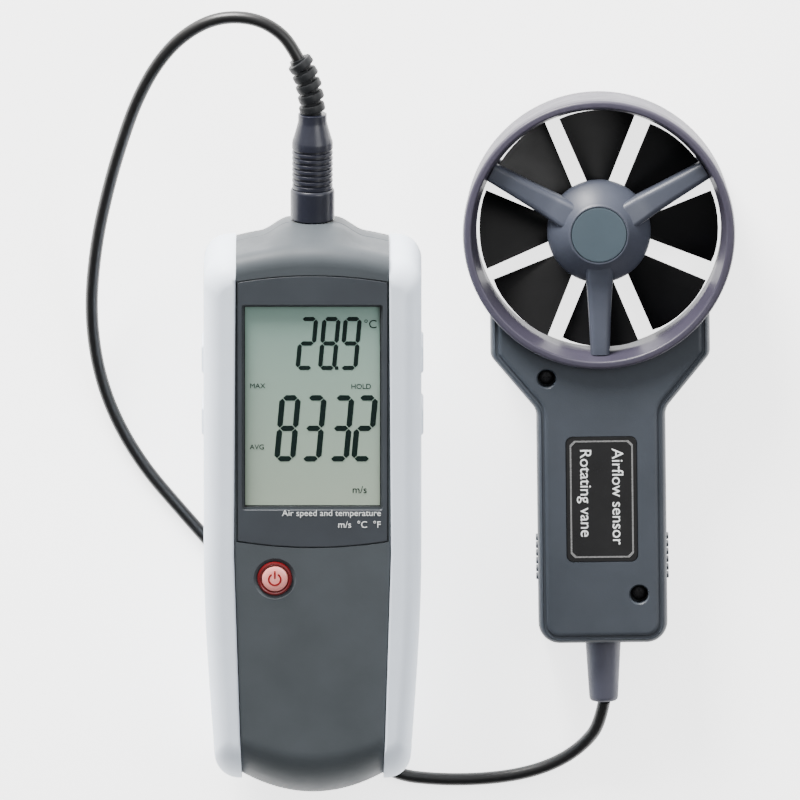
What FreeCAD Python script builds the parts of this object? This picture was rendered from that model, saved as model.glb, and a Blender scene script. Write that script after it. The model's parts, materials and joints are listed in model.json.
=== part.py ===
"""Handheld vane anemometer: a display unit and a plug-in vane probe, joined by a cord. Millimetres.

The set lies on a table at Z = 0, with the rotor's axis upright. The display unit leans on its fold-out foot.
Two frames are used. METER: X across the unit, Y from its bottom end to its plug end, Z out of its face.
PROBE: the rotor's axis is Z, the handle runs along -Y, and the back lies on the table.
"""
import FreeCAD
import Part

import math
import os
import re

from FreeCAD import Placement, Rotation, Vector

# Driving dimensions, in millimetres and degrees. They become the cells of the spreadsheet.
DIMENSIONS = {
    # display unit
    "case_length": 203.0,
    "case_width": 75.0,
    "case_depth": 46.0,
    "wall": 2.4,
    "parting_height": 22.0,
    "face_width": 53.8,
    "window_width": 48.3,
    "window_length": 73.0,
    "window_middle": 143.0,
    "bezel_depth": 1.2,
    "key_across": -13.0,
    "key_along": 81.9,
    "key_radius": 4.55,
    "key_travel": 0.8,
    "socket_height": 19.0,
    "stand_along": 135.0,
    "stand_height": 2.6,
    "stand_reach": 22.1,
    "stand_lean": 10.0,
    "foot_along": 7.5,
    "foot_height": -3.4,
    "foot_radius": 2.5,
    "tripod_along": 165.0,
    "tripod_radius": 2.55,
    # vane probe
    "ring_radius": 47.0,
    "ring_depth": 30.0,
    "duct_radius": 42.2,
    "dome_radius": 17.9,
    "dome_height": 29.4,
    "cap_radius": 9.6,
    "blade_radius": 41.2,
    "blade_gap": 5.6,
    "blade_pitch": 20.0,
    "blade_count": 8,
    "blade_level": 12.0,
    "shaft_radius": 1.0,
    "handle_half_width": 22.3,
    "handle_end": -143.3,
    "probe_depth": 25.5,
    "probe_parting": 12.5,
    "gland_length": 21.7,
    "cord_level": 13.0,
    # the set on its table
    "ring_across": 45.0,
    "ring_along": 74.0,
    "probe_turn": 0.7,
    "meter_across": -53.7,
    "meter_along": -116.9,
    "cord_diameter": 4.4,
}
ARM_ANGLES = (30, 150, 270)
CLEARANCE = 0.05

doc = FreeCAD.newDocument("VaneAnemometer")
sheet = doc.addObject("Spreadsheet::Sheet", "Dimensions")
nodes = {}


def fill_sheet():
    """One row for each driving dimension: its name and its value, with the name as alias."""
    for row, (name, value) in enumerate(DIMENSIONS.items(), start=1):
        sheet.set(f"A{row}", name)
        sheet.set(f"B{row}", str(value))
        sheet.setAlias(f"B{row}", name)
    doc.recompute()


def size(name):
    """A driving dimension's value, as the spreadsheet holds it."""
    return float(sheet.get(name))


# ---------------------------------------------------------------- building blocks

def rule(text):
    """An expression of dimension names, turned into references to the spreadsheet."""
    def look_up(word):
        name = word.group(0)
        return "Dimensions." + name if name in DIMENSIONS else name
    return re.sub(r"[a-z_]{3,}", look_up, str(text))


def bind(item, **rules):
    """Tie an item's properties to expressions of the driving dimensions."""
    for prop, text in rules.items():
        item.setExpression(prop.replace("__", "."), rule(text))
    return item


def stand_at(item, base, along="z"):
    """Put a primitive at its base point, with its own axis along x, y or z."""
    turns = {"x": Rotation(Vector(0, 1, 0), 90), "y": Rotation(Vector(1, 0, 0), -90), "z": Rotation()}
    item.Placement = Placement(Vector(), turns[along])
    across, forward, up = base
    return bind(item, Placement__Base__x=across, Placement__Base__y=forward, Placement__Base__z=up)


def box(low, extent):
    """A block from its lowest corner and its three sizes."""
    item = doc.addObject("Part::Box", "Block")
    length, width, height = extent
    return stand_at(bind(item, Length=length, Width=width, Height=height), low)


def centred_box(width, low_y, length, low_z, height):
    """A block that is symmetric about X = 0."""
    return box((f"-({width})/2", low_y, low_z), (width, length, height))


def rod(base, radius, length, along="z"):
    """A round bar that starts at its base point."""
    item = doc.addObject("Part::Cylinder", "Bar")
    return stand_at(bind(item, Radius=radius, Height=length), base, along)


def taper(base, first_radius, last_radius, length, along="z"):
    """A round bar whose radius changes evenly from its base to its end."""
    item = doc.addObject("Part::Cone", "Taper")
    return stand_at(bind(item, Radius1=first_radius, Radius2=last_radius, Height=length), base, along)


def fuse(*items):
    joined = doc.addObject("Part::MultiFuse", "Joined")
    joined.Shapes = list(items)
    return joined


def meet(*items):
    shared = doc.addObject("Part::MultiCommon", "Shared")
    shared.Shapes = list(items)
    return shared


def cut(base, *tools):
    """The base with every tool taken out of it."""
    left = doc.addObject("Part::Cut", "Left")
    left.Base = base
    left.Tool = tools[0] if len(tools) == 1 else fuse(*tools)
    return left


def moved(item, by, turn=None):
    """The item carried in a compound, shifted and turned."""
    carrier = doc.addObject("Part::Compound", "Carried")
    carrier.Links = [item]
    carrier.Placement = Placement(Vector(*by), turn or Rotation())
    return carrier


def round_edges(base, radius, wanted):
    """Round those edges of the base that the test picks out."""
    doc.recompute()
    item = doc.addObject("Part::Fillet", "Rounded")
    item.Base = base
    numbers = [number for number, edge in enumerate(base.Shape.Edges, start=1) if wanted(edge)]
    item.Edges = [(number, radius, radius) for number in numbers]
    return item


def at_height(*levels):
    """Test for edges that lie whole in one of these levels."""
    def wanted(edge):
        span = edge.BoundBox
        return any(abs(span.ZMin - level) < 0.01 and abs(span.ZMax - level) < 0.01 for level in levels)
    return wanted


def corner_arc(before, corner, after, radius):
    """The arc of this radius that is tangent to both runs at a corner."""
    back = (before - corner).normalize()
    ahead = (after - corner).normalize()
    half = back.getAngle(ahead) / 2
    bisector = (back + ahead).normalize()
    centre = corner + bisector * (radius / math.sin(half))
    reach = radius / math.tan(half)
    return Part.Arc(corner + back * reach, centre - bisector * radius, corner + ahead * reach)


def outline_edges(steps):
    """A closed outline. A step is (x, y), or (x, y, corner radius), or (via x, via y, x, y) for an arc."""
    ends = [Vector(*step[-2:], 0) if len(step) == 4 else Vector(step[0], step[1], 0) for step in steps]
    spans = [(end, end) for end in ends]
    edges = []
    for number, step in enumerate(steps):
        if len(step) == 3:
            arc = corner_arc(ends[number - 1], ends[number], ends[(number + 1) % len(ends)], step[2])
            edges.append(arc)
            spans[number] = (arc.StartPoint, arc.EndPoint)
    for number, step in enumerate(steps):
        leave, arrive = spans[number - 1][1], spans[number][0]
        if len(step) == 4:
            edges.append(Part.Arc(leave, Vector(step[0], step[1], 0), arrive))
        elif leave.distanceToPoint(arrive) > 1e-6:
            edges.append(Part.LineSegment(leave, arrive))
    return edges


def sketch_on(body, role, edges, offset=0.0):
    """A sketch with these edges on one of the body's own origin planes."""
    drawing = body.newObject("Sketcher::SketchObject", "Outline")
    plane = next(item for item in body.Origin.OriginFeatures if item.Role == role)
    drawing.AttachmentSupport = [(plane, "")]
    drawing.MapMode = "FlatFace"
    drawing.AttachmentOffset = Placement(Vector(0, 0, offset), Rotation())
    drawing.addGeometry(edges, False)
    return drawing


def slab(steps, low, height, role="XY_Plane"):
    """A body padded from an outline, starting at a level of the outline's plane."""
    body = doc.addObject("PartDesign::Body", "Slab")
    pad = body.newObject("PartDesign::Pad", "Pad")
    pad.Profile = sketch_on(body, role, outline_edges(steps), low)
    bind(pad, Length=height)
    return body


def turned(profile):
    """A body turned about Z from a profile of (radius, height) steps."""
    body = doc.addObject("PartDesign::Body", "Turned")
    drawing = sketch_on(body, "XZ_Plane", outline_edges(profile))
    turning = body.newObject("PartDesign::Revolution", "Turning")
    turning.Profile = drawing
    turning.ReferenceAxis = (drawing, ["V_Axis"])
    turning.Angle = 360
    return body


def mirrored_steps(right_half):
    """An outline symmetric about X = 0, from its right half, listed from the bottom to the top."""
    left_half = []
    for number in range(len(right_half) - 1, -1, -1):
        step = right_half[number]
        follower = right_half[number + 1] if number + 1 < len(right_half) else None
        end = step[-2:] if len(step) == 4 else step[:2]
        if follower is not None and len(follower) == 4:
            left_half.append((-follower[0], follower[1], -end[0], end[1]))
        elif len(step) == 3:
            left_half.append((-step[0], step[1], step[2]))
        else:
            left_half.append((-end[0], end[1]))
    return list(right_half) + left_half


def node(name, frame, *items):
    """Keep the items as one named piece of the set, in its place on the table."""
    item = items[0]
    if len(items) > 1 or item.TypeId in ("Part::Box", "Part::Cylinder", "Part::Cone", "Part::Compound"):
        item = doc.addObject("Part::Compound", "Piece")
        item.Links = list(items)
    item.Label = name
    item.Placement = frame
    nodes[name] = item
    return item


# ---------------------------------------------------------------- the display unit's case

POST_PLACES = [(side * 20.0, along) for side in (-1, 1) for along in (20.0, 183.0)]
BOARD_PLACES = [(side * 26.0, along) for side in (-1, 1) for along in (34.0, 170.0)]


def face_steps(inset=0.0):
    """The dark middle of the case seen from the front, with its hump at the plug end."""
    half = size("face_width") / 2 - inset
    top = size("case_length") - inset
    right = [(0, inset), (12.5, 1.9 + inset, half - 2.6, 7.0 + inset), (half, 90.0), (half - 0.6, top - 7.1),
             (17.0, top - 4.5, 8.4, top)]
    steps = mirrored_steps(right)
    return steps[:-1]


def core_steps(inset=0.0):
    """The hard shell under the soft cheeks, seen from the front."""
    half = size("case_width") / 2 - 3.2 - inset
    top = size("case_length") - 11.0 - inset
    low = 9.0 + inset
    return mirrored_steps([(half - 3.4, low, 7.0), (half, 90.0), (half, top, 7.0)])


def side_steps(inset=0.0):
    """The case seen from its side: Y along the unit, then Z out of its face."""
    top = size("case_length") - inset
    face = size("case_depth") - inset
    return [(inset, inset, 8 - inset), (top, inset, 9 - inset), (top, face - 9, 6 - inset), (top - 6.5, face, 5 - inset),
            (inset, face, 19 - inset)]


def side_slab(inset=0.0):
    """The case's side outline as a slab as wide as the case."""
    return slab(side_steps(inset), -size("case_width") / 2, "case_width", "YZ_Plane")


def case_form():
    """The outside of the two hard shells together."""
    core = slab(core_steps(), 2.6, "case_depth - 5.2")
    core = round_edges(core, 3.0, at_height(2.6, size("case_depth") - 2.6))
    return meet(fuse(slab(face_steps(), 0, "case_depth"), core), side_slab())


def case_room():
    """The room inside the two hard shells."""
    low = 2.6 + size("wall")
    wide = slab(core_steps(size("wall")), low, "case_depth - 5.2 - 2*wall")
    narrow = centred_box("face_width - 4", 11.5, 178, "wall", "case_depth - bezel_depth - 1.2 - wall")
    return meet(fuse(wide, narrow), side_slab(size("wall")))


def socket_room():
    """The bore for the probe socket, and the recess for its ring at the mouth."""
    bore = rod((0, 184, "socket_height"), f"6.2 + {CLEARANCE}", 20, "y")
    mouth = rod((0, "case_length - 1.5", "socket_height"), f"7.4 + {CLEARANCE}", 3, "y")
    return fuse(bore, mouth)


def bezel_steps(gap=0.0):
    """The display's bezel plate: straight sides, an arched top and a bottom edge that bulges down."""
    half = size("face_width") / 2 - 1.0 + gap
    low, high = 95.3 - gap, 187.6 + gap
    right = [(0, low - 2.2), (half * 0.55, low - 1.5, half, low), (half, high)]
    steps = mirrored_steps(right)[:-1]
    steps[-2] = (0, high + 2.3, -half, high)
    return steps


def window_box(shrink, low, height):
    """A block the size of the display window, smaller all round by a margin."""
    return centred_box(f"window_width - 2*{shrink}", f"window_middle - window_length/2 + {shrink}",
                       f"window_length - 2*{shrink}", low, height)


def make_shells(frame):
    """The hard case: a front shell with the display, and a rear shell with battery bay, foot and tripod nut."""
    hollow = cut(case_form(), case_room(), socket_room())
    depth = size("case_depth")
    front_half = box((-60, -20, "parting_height"), (120, 260, 60))
    rear_half = box((-60, -20, -20), (120, 260, "parting_height + 20"))

    bezel_seat = slab(bezel_steps(0.1), depth - size("bezel_depth"), "bezel_depth + 1")
    key_hole = rod(("key_across", "key_along", 30), f"5.95 + {CLEARANCE}", 20)
    front_posts = [rod((x, y, "parting_height"), 3.6, "case_depth - parting_height - bezel_depth - 1.0")
                   for x, y in POST_PLACES]
    board_posts = [rod((x, y, 36.7), 2.6, 4.6) for x, y in BOARD_PLACES]
    screw_holes = [rod((x, y, 20), 1.3, 11) for x, y in POST_PLACES]
    board_holes = [rod((x, y, 36), 1.05, 4.2) for x, y in BOARD_PLACES]
    front = fuse(meet(hollow, front_half), *front_posts, *board_posts)
    front = cut(front, bezel_seat, key_hole, window_box(0.7, 38, 12), *screw_holes, *board_holes)
    node("front_shell", frame, front)

    along = size("stand_along")
    rear_posts = [rod((x, y, 1.0), 4.2, "parting_height - 1.0") for x, y in POST_PLACES]
    stand_pan = centred_box(52.8, along - 28.4, 35.4, 1.0, 6.8)
    nut_boss = rod((0, "tripod_along", 1.0), 6.6, 10.6)
    rear = fuse(meet(hollow, rear_half), *rear_posts, stand_pan, nut_boss)
    stand_room = fuse(centred_box(48, along - 26, 30.5, 1.0, 4.4), centred_box(48, along - 26, 28.1, -5, 6.5))
    pin_hole = rod((-26, "stand_along", "stand_height"), 1.25, 52, "x")
    bay_mouth = centred_box(35.6, 36.8, 51.2, -5, 12)
    nut_hole = rod((0, "tripod_along", -5), f"4.2 + {CLEARANCE}", 15.1)
    shanks = [rod((x, y, -5), 1.35, 40) for x, y in POST_PLACES]
    heads = [rod((x, y, -5), 3.1, 8.0) for x, y in POST_PLACES]
    foot_seat = centred_box(20.2, "foot_along - 2.6", 5.2, -5, 6.0)
    node("rear_shell", frame, cut(rear, stand_room, pin_hole, bay_mouth, nut_hole, foot_seat, *shanks, *heads))


def cheek_steps():
    """The right soft cheek seen from the front."""
    half = size("case_width") / 2
    inner = size("face_width") / 2
    top = size("case_length") - 8.5
    return [(inner - 2.45, 6.4), (half - 4.4, 6.2, 8), (half - 2.6, 30), (half - 0.7, 58, half, 90),
            (half, top, 9.5), (inner - 0.55, top), (inner + 0.05, 90)]


def make_cheeks(frame):
    """The soft overmoulded cheeks that wrap both sides of the case, each with two grip bumps."""
    low, high, top = 0.4, size("case_depth") + 0.8, size("case_length") - 8.5
    ends = [(6.2, low, 9), (top, low, 9), (top, high, 9), (6.2, high, 18)]
    side = slab(ends, 0, "case_width/2", "YZ_Plane")
    shape = meet(slab(cheek_steps(), low, f"{high} - {low}"), side)
    inner = size("face_width") / 2

    def outside(edge):
        middle = edge.valueAt((edge.FirstParameter + edge.LastParameter) / 2)
        ends = [vertex.Point for vertex in edge.Vertexes]
        upright = abs(ends[0].x - ends[-1].x) < 0.01 and abs(ends[0].y - ends[-1].y) < 0.01
        return middle.x > inner + 0.5 and not upright
    rounded = round_edges(shape, 4.5, outside)
    bumps = [round_edges(box(("case_width/2 - 3", low, 13), (3.8, 10.4, 20)), 0.7,
                         lambda edge: edge.BoundBox.XMin > size("case_width") / 2) for low in (129.2, 151.3)]
    blank = cut(fuse(rounded, *bumps), case_form())
    node("right_cheek", frame, blank)
    flipped = doc.addObject("Part::Mirroring", "Flipped")
    flipped.Source = cut(fuse(rounded, *bumps), case_form())
    flipped.Normal = Vector(1, 0, 0)
    node("left_cheek", frame, moved(flipped, (0, 0, 0)))


# ---------------------------------------------------------------- the display unit's front

def make_display(frame):
    """Bezel, clear window, liquid crystal panel and its backlight."""
    depth = size("case_depth")
    bezel = slab(bezel_steps(), depth - size("bezel_depth"), "bezel_depth")
    node("display_bezel", frame, cut(bezel, window_box(0, 40, 10)))
    node("display_lens", frame, window_box(0.1, "case_depth - bezel_depth", "bezel_depth - 0.25"))
    node("lcd_panel", frame, window_box(1.0, 40.9, 2.3))
    node("lcd_backlight", frame, window_box(1.0, 38.3, 2.5))


def make_power_key(frame):
    """The power key, the red ring it slides in, and the snap dome below it."""
    ring = fuse(rod(("key_across", "key_along", 42.2), 5.95, 4.4), rod(("key_across", "key_along", 42.2), 7.2, 1.2))
    bore = rod(("key_across", "key_along", 40), f"key_radius + {CLEARANCE}", 10)
    node("button_ring", frame, cut(ring, bore))
    cap = rod(("key_across", "key_along", 41.0), "key_radius", 5.9)
    flange = rod(("key_across", "key_along", 41.0), 6.5, 1.15)
    stem = rod(("key_across", "key_along", 38.6), 1.5, 3.0)
    node("power_button", frame, round_edges(fuse(cap, flange, stem), 0.7, at_height(46.9)))
    node("key_dome", frame, taper(("key_across", "key_along", 36.65), 3.2, 1.8, "39.4 - key_travel - 36.65 - 0.9"))


def make_electronics(frame):
    """The main board with its parts, screws and buzzer."""
    board = centred_box(57.5, 27, 149, 35.0, 1.6)
    holes = [rod((x, y, 30), 1.2, 10) for x, y in BOARD_PLACES]
    node("main_board", frame, cut(board, *holes))
    chips = [centred_box(14, 96, 14, 33.4, 1.55), box((8, 66, 33.8), (9, 6, 1.15)), box((-20, 118, 33.0), (5, 12, 1.95)),
             rod((16, 90, 27), 3.0, 7.95), rod((-18, 96, 29), 2.5, 5.95)]
    node("board_chips", frame, *chips)
    node("buzzer", frame, rod((14, 146, 29.5), 7.0, 5.45))
    screws = [fuse(rod((x, y, 33.2), 2.1, 1.75), rod((x, y, 33.2), 1.0, 7.0)) for x, y in BOARD_PLACES]
    node("board_screws", frame, *screws)


def make_socket(frame):
    """The round probe socket in the plug end, and the metal ring round its mouth."""
    body = rod((0, 184.2, "socket_height"), 6.2, "case_length - 184.2", "y")
    well = rod((0, 191, "socket_height"), 4.5, 20, "y")
    core = rod((0, 190, "socket_height"), 3.4, 9.5, "y")
    pin_wells = [rod((x, 193, f"socket_height + {z}"), 0.65, 10, "y") for x, z in PIN_PLACES]
    node("probe_socket", frame, cut(fuse(cut(body, well), core), *pin_wells))
    ring = rod((0, "case_length - 1.45", "socket_height"), 7.4, 1.4, "y")
    node("socket_ring", frame, cut(ring, rod((0, 195, "socket_height"), f"6.2 + {CLEARANCE}", 20, "y")))


PIN_PLACES = [(1.9 * math.cos(math.radians(turn)), 1.9 * math.sin(math.radians(turn))) for turn in (45, 135, 225, 315)]


# ---------------------------------------------------------------- the display unit's back

def make_battery(frame):
    """The 9 V block battery, its snap connector and the cover that slides off downwards."""
    node("battery", frame, round_edges(box((-13.2, 38.6, 3.9), (26.4, 46.4, 17.4)), 1.6,
                                       lambda edge: edge.BoundBox.YLength > 40))
    terminals = [rod((side * 6.4, 85.05, 12.6), radius, 2.4, "y") for side, radius in ((-1, 2.9), (1, 3.6))]
    node("battery_terminals", frame, *terminals)
    snap = round_edges(box((-12.6, 87.5, 6.6), (25.2, 3.4, 12)), 1.5, lambda edge: edge.BoundBox.YLength > 3)
    node("battery_snap", frame, snap)
    plate = round_edges(centred_box(38, 35, 56, -1.6, 1.55), 3.0, lambda edge: edge.BoundBox.ZLength > 1)
    rails = [box((side * 16.95 - 0.75, 45, -0.1), (1.5, 35, 3.0)) for side in (-1, 1)]
    lips = [box((side * 18.0 - 1.8, 45, 2.5), (3.6, 35, 1.2)) for side in (-1, 1)]
    node("battery_cover", frame, fuse(plate, *rails, *lips))


def make_stand(frame):
    """The fold-out foot, drawn open: a plate on a barrel, its hinge pin and its soft tip."""
    pivot = Vector(0, size("stand_along"), size("stand_height"))
    reach = size("stand_reach")
    lean = Rotation(Vector(1, 0, 0), size("stand_lean"))
    barrel = rod((-23.7, 0, 0), 2.4, 47.4, "x")
    plate = centred_box(43.6, -1.5, 3.0, f"-{reach}", f"{reach}")
    leg = cut(fuse(barrel, plate), rod((-30, 0, 0), f"1.25 + {CLEARANCE}", 60, "x"))
    tip = rod((-20, 0, f"-{reach}"), "foot_radius", 40, "x")
    pad = cut(tip, centred_box(50, -1.5, 3.0, f"-{reach}", 10))
    swung = frame.multiply(Placement(pivot, lean))
    node("tilt_stand", swung, leg)
    node("stand_pad", swung, pad)
    node("stand_pin", frame, rod((-25.9, "stand_along", "stand_height"), 1.25, 51.8, "x"))


def make_back_pieces(frame):
    """The tripod nut, the rubber foot near the bottom end and the four case screws."""
    nut = rod((0, "tripod_along", 0.3), 4.2, 9.6)
    node("tripod_nut", frame, cut(nut, rod((0, "tripod_along", -1), "tripod_radius", 10.2)))
    bar = rod((-10, "foot_along", "foot_height"), "foot_radius", 20, "x")
    block = centred_box(20, "foot_along - 2.5", 5.0, "foot_height", "1.0 - foot_height")
    node("rear_foot", frame, fuse(bar, block))
    screws = [fuse(rod((x, y, 1.2), 2.8, 1.8), rod((x, y, 1.2), 1.25, 27)) for x, y in POST_PLACES]
    node("case_screws", frame, *screws)


# ---------------------------------------------------------------- the vane probe

def ring_profile():
    """Half section of the duct ring: straight throat, a bell mouth at each end and rounded rims."""
    outer, depth, throat = size("ring_radius"), size("ring_depth"), size("duct_radius")
    return [(outer - 0.9, 0, 1.0), (outer, depth - 4, 4), (outer - 0.3, depth, 1.2), (throat + 1.9, depth, 1.0),
            (throat, 20, 20), (throat, 5, 6), (throat + 1.2, 0, 0.9)]


def arms(low, height, inner_width, outer_width):
    """Three tapering arms from the hub to the throat of the duct ring."""
    reach = size("duct_radius") + 3
    outline = [(6, -inner_width / 2), (reach, -outer_width / 2), (reach, outer_width / 2), (6, inner_width / 2)]
    spokes = [moved(slab(outline, low, height), (0, 0, 0), Rotation(Vector(0, 0, 1), angle)) for angle in ARM_ANGLES]
    return meet(fuse(*spokes), rod((0, 0, 0), "duct_radius", "ring_depth"))


def make_duct(frame):
    """The duct ring and the two spiders that hold the rotor's bearings."""
    node("vane_ring", frame, turned(ring_profile()))
    dome, height, cap = size("dome_radius"), size("dome_height"), size("cap_radius")
    dome_profile = [(0, 18.5), (dome, 18.5), (dome, 21.0, 0.8), (cap + 0.9, height - 0.8, 0.8), (cap + 0.5, height),
                    (0, height)]
    hollow = rod((0, 0, 21.5), 8.4, 12)
    cap_seat = rod((0, 0, "dome_height - 1.2"), f"cap_radius + {CLEARANCE}", 5)
    bearing_seat = rod((0, 0, 18), f"3.0 + {CLEARANCE}", 5)
    front = cut(fuse(turned(dome_profile), arms(18.5, 6.2, 8.4, 6.6)), hollow, cap_seat, bearing_seat)
    node("front_spider", frame, front)
    node("hub_cap", frame, round_edges(rod((0, 0, "dome_height - 1.2"), "cap_radius", 1.2), 0.4,
                                       at_height(height)))
    rear = fuse(rod((0, 0, 0.8), 11, 4.2), arms(0.8, 3.8, 7.4, 5.8))
    node("rear_spider", frame, cut(rear, rod((0, 0, 2.0), f"3.0 + {CLEARANCE}", 5)))


def make_bearings(frame):
    """A bearing bush at each end of the rotor shaft."""
    for name, low in (("front_bearing", 18.8), ("rear_bearing", 2.2)):
        bush = rod((0, 0, low), 3.0, 2.6)
        node(name, frame, cut(bush, rod((0, 0, low - 1), f"shaft_radius + {CLEARANCE}", 5)))


def blade_steps():
    """One blade, flat: it widens from the hub so that the gap to the next blade has parallel sides."""
    half_sector = math.pi / size("blade_count")
    root, tip = 8.6, size("blade_radius")
    gap = size("blade_gap") / 2 / math.cos(half_sector)
    stretch = 1 / math.cos(math.radians(size("blade_pitch")))
    root_half = (root * math.tan(half_sector) - gap) * stretch
    edge = 38.0
    edge_half = (edge * math.tan(half_sector) - gap) * stretch
    return [(-edge_half, edge), (-root_half, root), (root_half, root), (edge_half, edge), (0, tip, -edge_half, edge)]


def make_rotor(frame):
    """The rotor: eight pitched blades on one hub, with its shaft and its signal magnet."""
    level, pitch = size("blade_level"), Rotation(Vector(0, 1, 0), size("blade_pitch"))
    blades = []
    for number in range(int(size("blade_count"))):
        flat = moved(slab(blade_steps(), -0.45, 0.9), (0, 0, level), pitch)
        blades.append(moved(flat, (0, 0, 0), Rotation(Vector(0, 0, 1), number * 360 / size("blade_count"))))
    hub = rod((0, 0, 8.0), 9.4, 8.0)
    shaft_hole = rod((0, 0, 0), "shaft_radius", 30)
    magnet_hole = rod((6, 0, 15.0), f"1.6 + {CLEARANCE}", 5)
    node("rotor", frame, cut(fuse(hub, *blades), shaft_hole, magnet_hole))
    node("rotor_shaft", frame, rod((0, 0, 2.3), "shaft_radius", 18.8))
    node("rotor_magnet", frame, rod((6, 0, 15.0), 1.6, 1.8))


def handle_steps(inset=0.0):
    """The probe's neck and handle seen from the front."""
    half = size("handle_half_width") - inset
    return mirrored_steps([(half, size("handle_end") + inset, 7.3 - inset), (half, -61.6, 6), (37.9 - inset, -42.8, 5),
                           (37.9 - inset, -26, 1)])


PROBE_SCREWS = [(-18.6, -50.5), (12.6, -126.1)]


def make_handle(frame):
    """The probe's two handle shells, screws and label plate."""
    depth = size("probe_depth")
    block = slab(handle_steps(), 0, "probe_depth")

    def rim(level):
        return lambda edge: at_height(level)(edge) and edge.BoundBox.YMin < -27
    form = round_edges(round_edges(block, 3.4, rim(depth)), 2.4, rim(0))
    saddle = rod((0, 0, -5), "ring_radius + 0.03", 60)
    room_half = size("handle_half_width") - 2.4
    room = slab(mirrored_steps([(room_half, size("handle_end") + 2.4, 5), (room_half, -66, 5)]), 2.4, "probe_depth - 4.8")
    passage = centred_box(9, -68, 14, 8, 9)
    gland_hole = rod((0, "handle_end - 2", "cord_level"), 5.0, 8, "y")
    bosses = [rod((x, y, 1), 4.8, "probe_depth - 2") for x, y in PROBE_SCREWS]
    label_seat = slab(label_steps(0.15), depth - 0.7, 3)
    heads = [rod((x, y, 18.6), 3.2, 20) for x, y in PROBE_SCREWS]
    shanks = [rod((x, y, 4), 1.35, 30) for x, y in PROBE_SCREWS]
    whole = cut(fuse(cut(form, room, passage), *bosses), saddle, gland_hole, label_seat, *heads, *shanks)
    upper = box((-60, -200, "probe_parting"), (120, 260, 60))
    lower = box((-60, -200, -20), (120, 260, "probe_parting + 20"))
    node("probe_front_shell", frame, meet(whole, upper))
    node("probe_rear_shell", frame, meet(whole, lower))
    node("probe_label", frame, slab(label_steps(), depth - 0.7, 0.6))
    screws = [fuse(rod((x, y, 18.6), 2.75, 2.0), rod((x, y, 5), 1.3, 14)) for x, y in PROBE_SCREWS]
    node("probe_screws", frame, *screws)


def label_steps(gap=0.0):
    """The label plate on the handle."""
    half, low, high = 12.1 + gap, -114.4 - gap, -71.0 + gap
    return mirrored_steps([(half, low, 2.2), (half, high, 2.2)])


def make_probe_inside(frame):
    """The probe's board, the sensor over the rotor's magnet and the temperature bead under one arm."""
    board = box((-16, -112, 8.0), (32, 42, 1.2))
    node("probe_board", frame, board)
    node("board_parts", frame, box((-9, -100, 9.25), (8, 8, 1.4)), box((4, -88, 9.25), (6, 3, 1.2)),
         rod((8, -104, 9.25), 2.5, 5.0))
    node("hall_sensor", frame, box((4, -1.6, 21.55), (4, 3.2, 1.5)))
    node("air_thermistor", frame, rod((0, -30, 17.0), 1.1, 1.5))


def make_gland(frame):
    """The tapered cord gland at the end of the handle."""
    end = size("handle_end")
    length = size("gland_length")
    tail = taper((0, end - length, "cord_level"), 5.0, 6.1, length - 0.05, "y")
    neck = rod((0, end - 1, "cord_level"), 4.9, 4.4, "y")
    flange = rod((0, end + 2.5, "cord_level"), 6.6, 2.4, "y")
    body = fuse(round_edges(tail, 1.4, lambda edge: edge.BoundBox.YMax < end - length + 0.1), neck, flange)
    node("cable_gland", frame, body)


# ---------------------------------------------------------------- plug and cord

BOOT_LEANS = (3, 8.5, 14, 19.5, 25)
BOOT_PITCH = 4.0


def boot_joints():
    """The bent boot's centreline, from the plug's neck to its tip, in the meter's frame."""
    points = [Vector(0, 240.5, size("socket_height"))]
    for lean in BOOT_LEANS:
        step = Vector(-math.sin(math.radians(lean)), math.cos(math.radians(lean)), 0)
        points.append(points[-1] + step * BOOT_PITCH)
    return points


def make_plug(frame):
    """The plug: metal shell and pins, smooth collar, ribbed grip, and a segmented bend relief."""
    start = size("case_length") + 0.1
    collar = rod((0, start, "socket_height"), 7.6, 10.9, "y")
    node("plug_collar", frame, round_edges(collar, 0.6, lambda edge: True))
    shell = cut(rod((0, 193, "socket_height"), 4.4, start - 193, "y"), rod((0, 190, "socket_height"), 3.5, 30, "y"))
    pins = [rod((x, 194, f"socket_height + {z}"), 0.5, start - 194, "y") for x, z in PIN_PLACES]
    node("plug_pins", frame, shell, *pins)
    grip_start = start + 10.9
    grip = rod((0, grip_start, "socket_height"), 7.05, 16.4, "y")
    grooves = [cut(rod((0, grip_start + 1.7 + number * 1.95, "socket_height"), 8, 0.75, "y"),
                   rod((0, grip_start + 1.0, "socket_height"), 6.4, 16, "y")) for number in range(7)]
    neck = taper((0, grip_start + 16.4, "socket_height"), 7.05, 4.9, 240.5 - grip_start - 16.4, "y")
    node("plug_grip", frame, fuse(cut(grip, *grooves), neck))
    beads = []
    joints = boot_joints()
    for lean, joint in zip(BOOT_LEANS, joints):
        turn = Rotation(Vector(0, 0, 1), lean)
        beads.append(moved(rod((0, -0.1, 0), 3.3, BOOT_PITCH + 0.1, "y"), joint, turn))
        beads.append(moved(rod((0, 0.9, 0), 4.5, 2.6, "y"), joint, turn))
    inside = box((-20, 240.55, 0), (40, 40, 60))
    node("plug_boot", frame, meet(fuse(*beads), inside))


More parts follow.
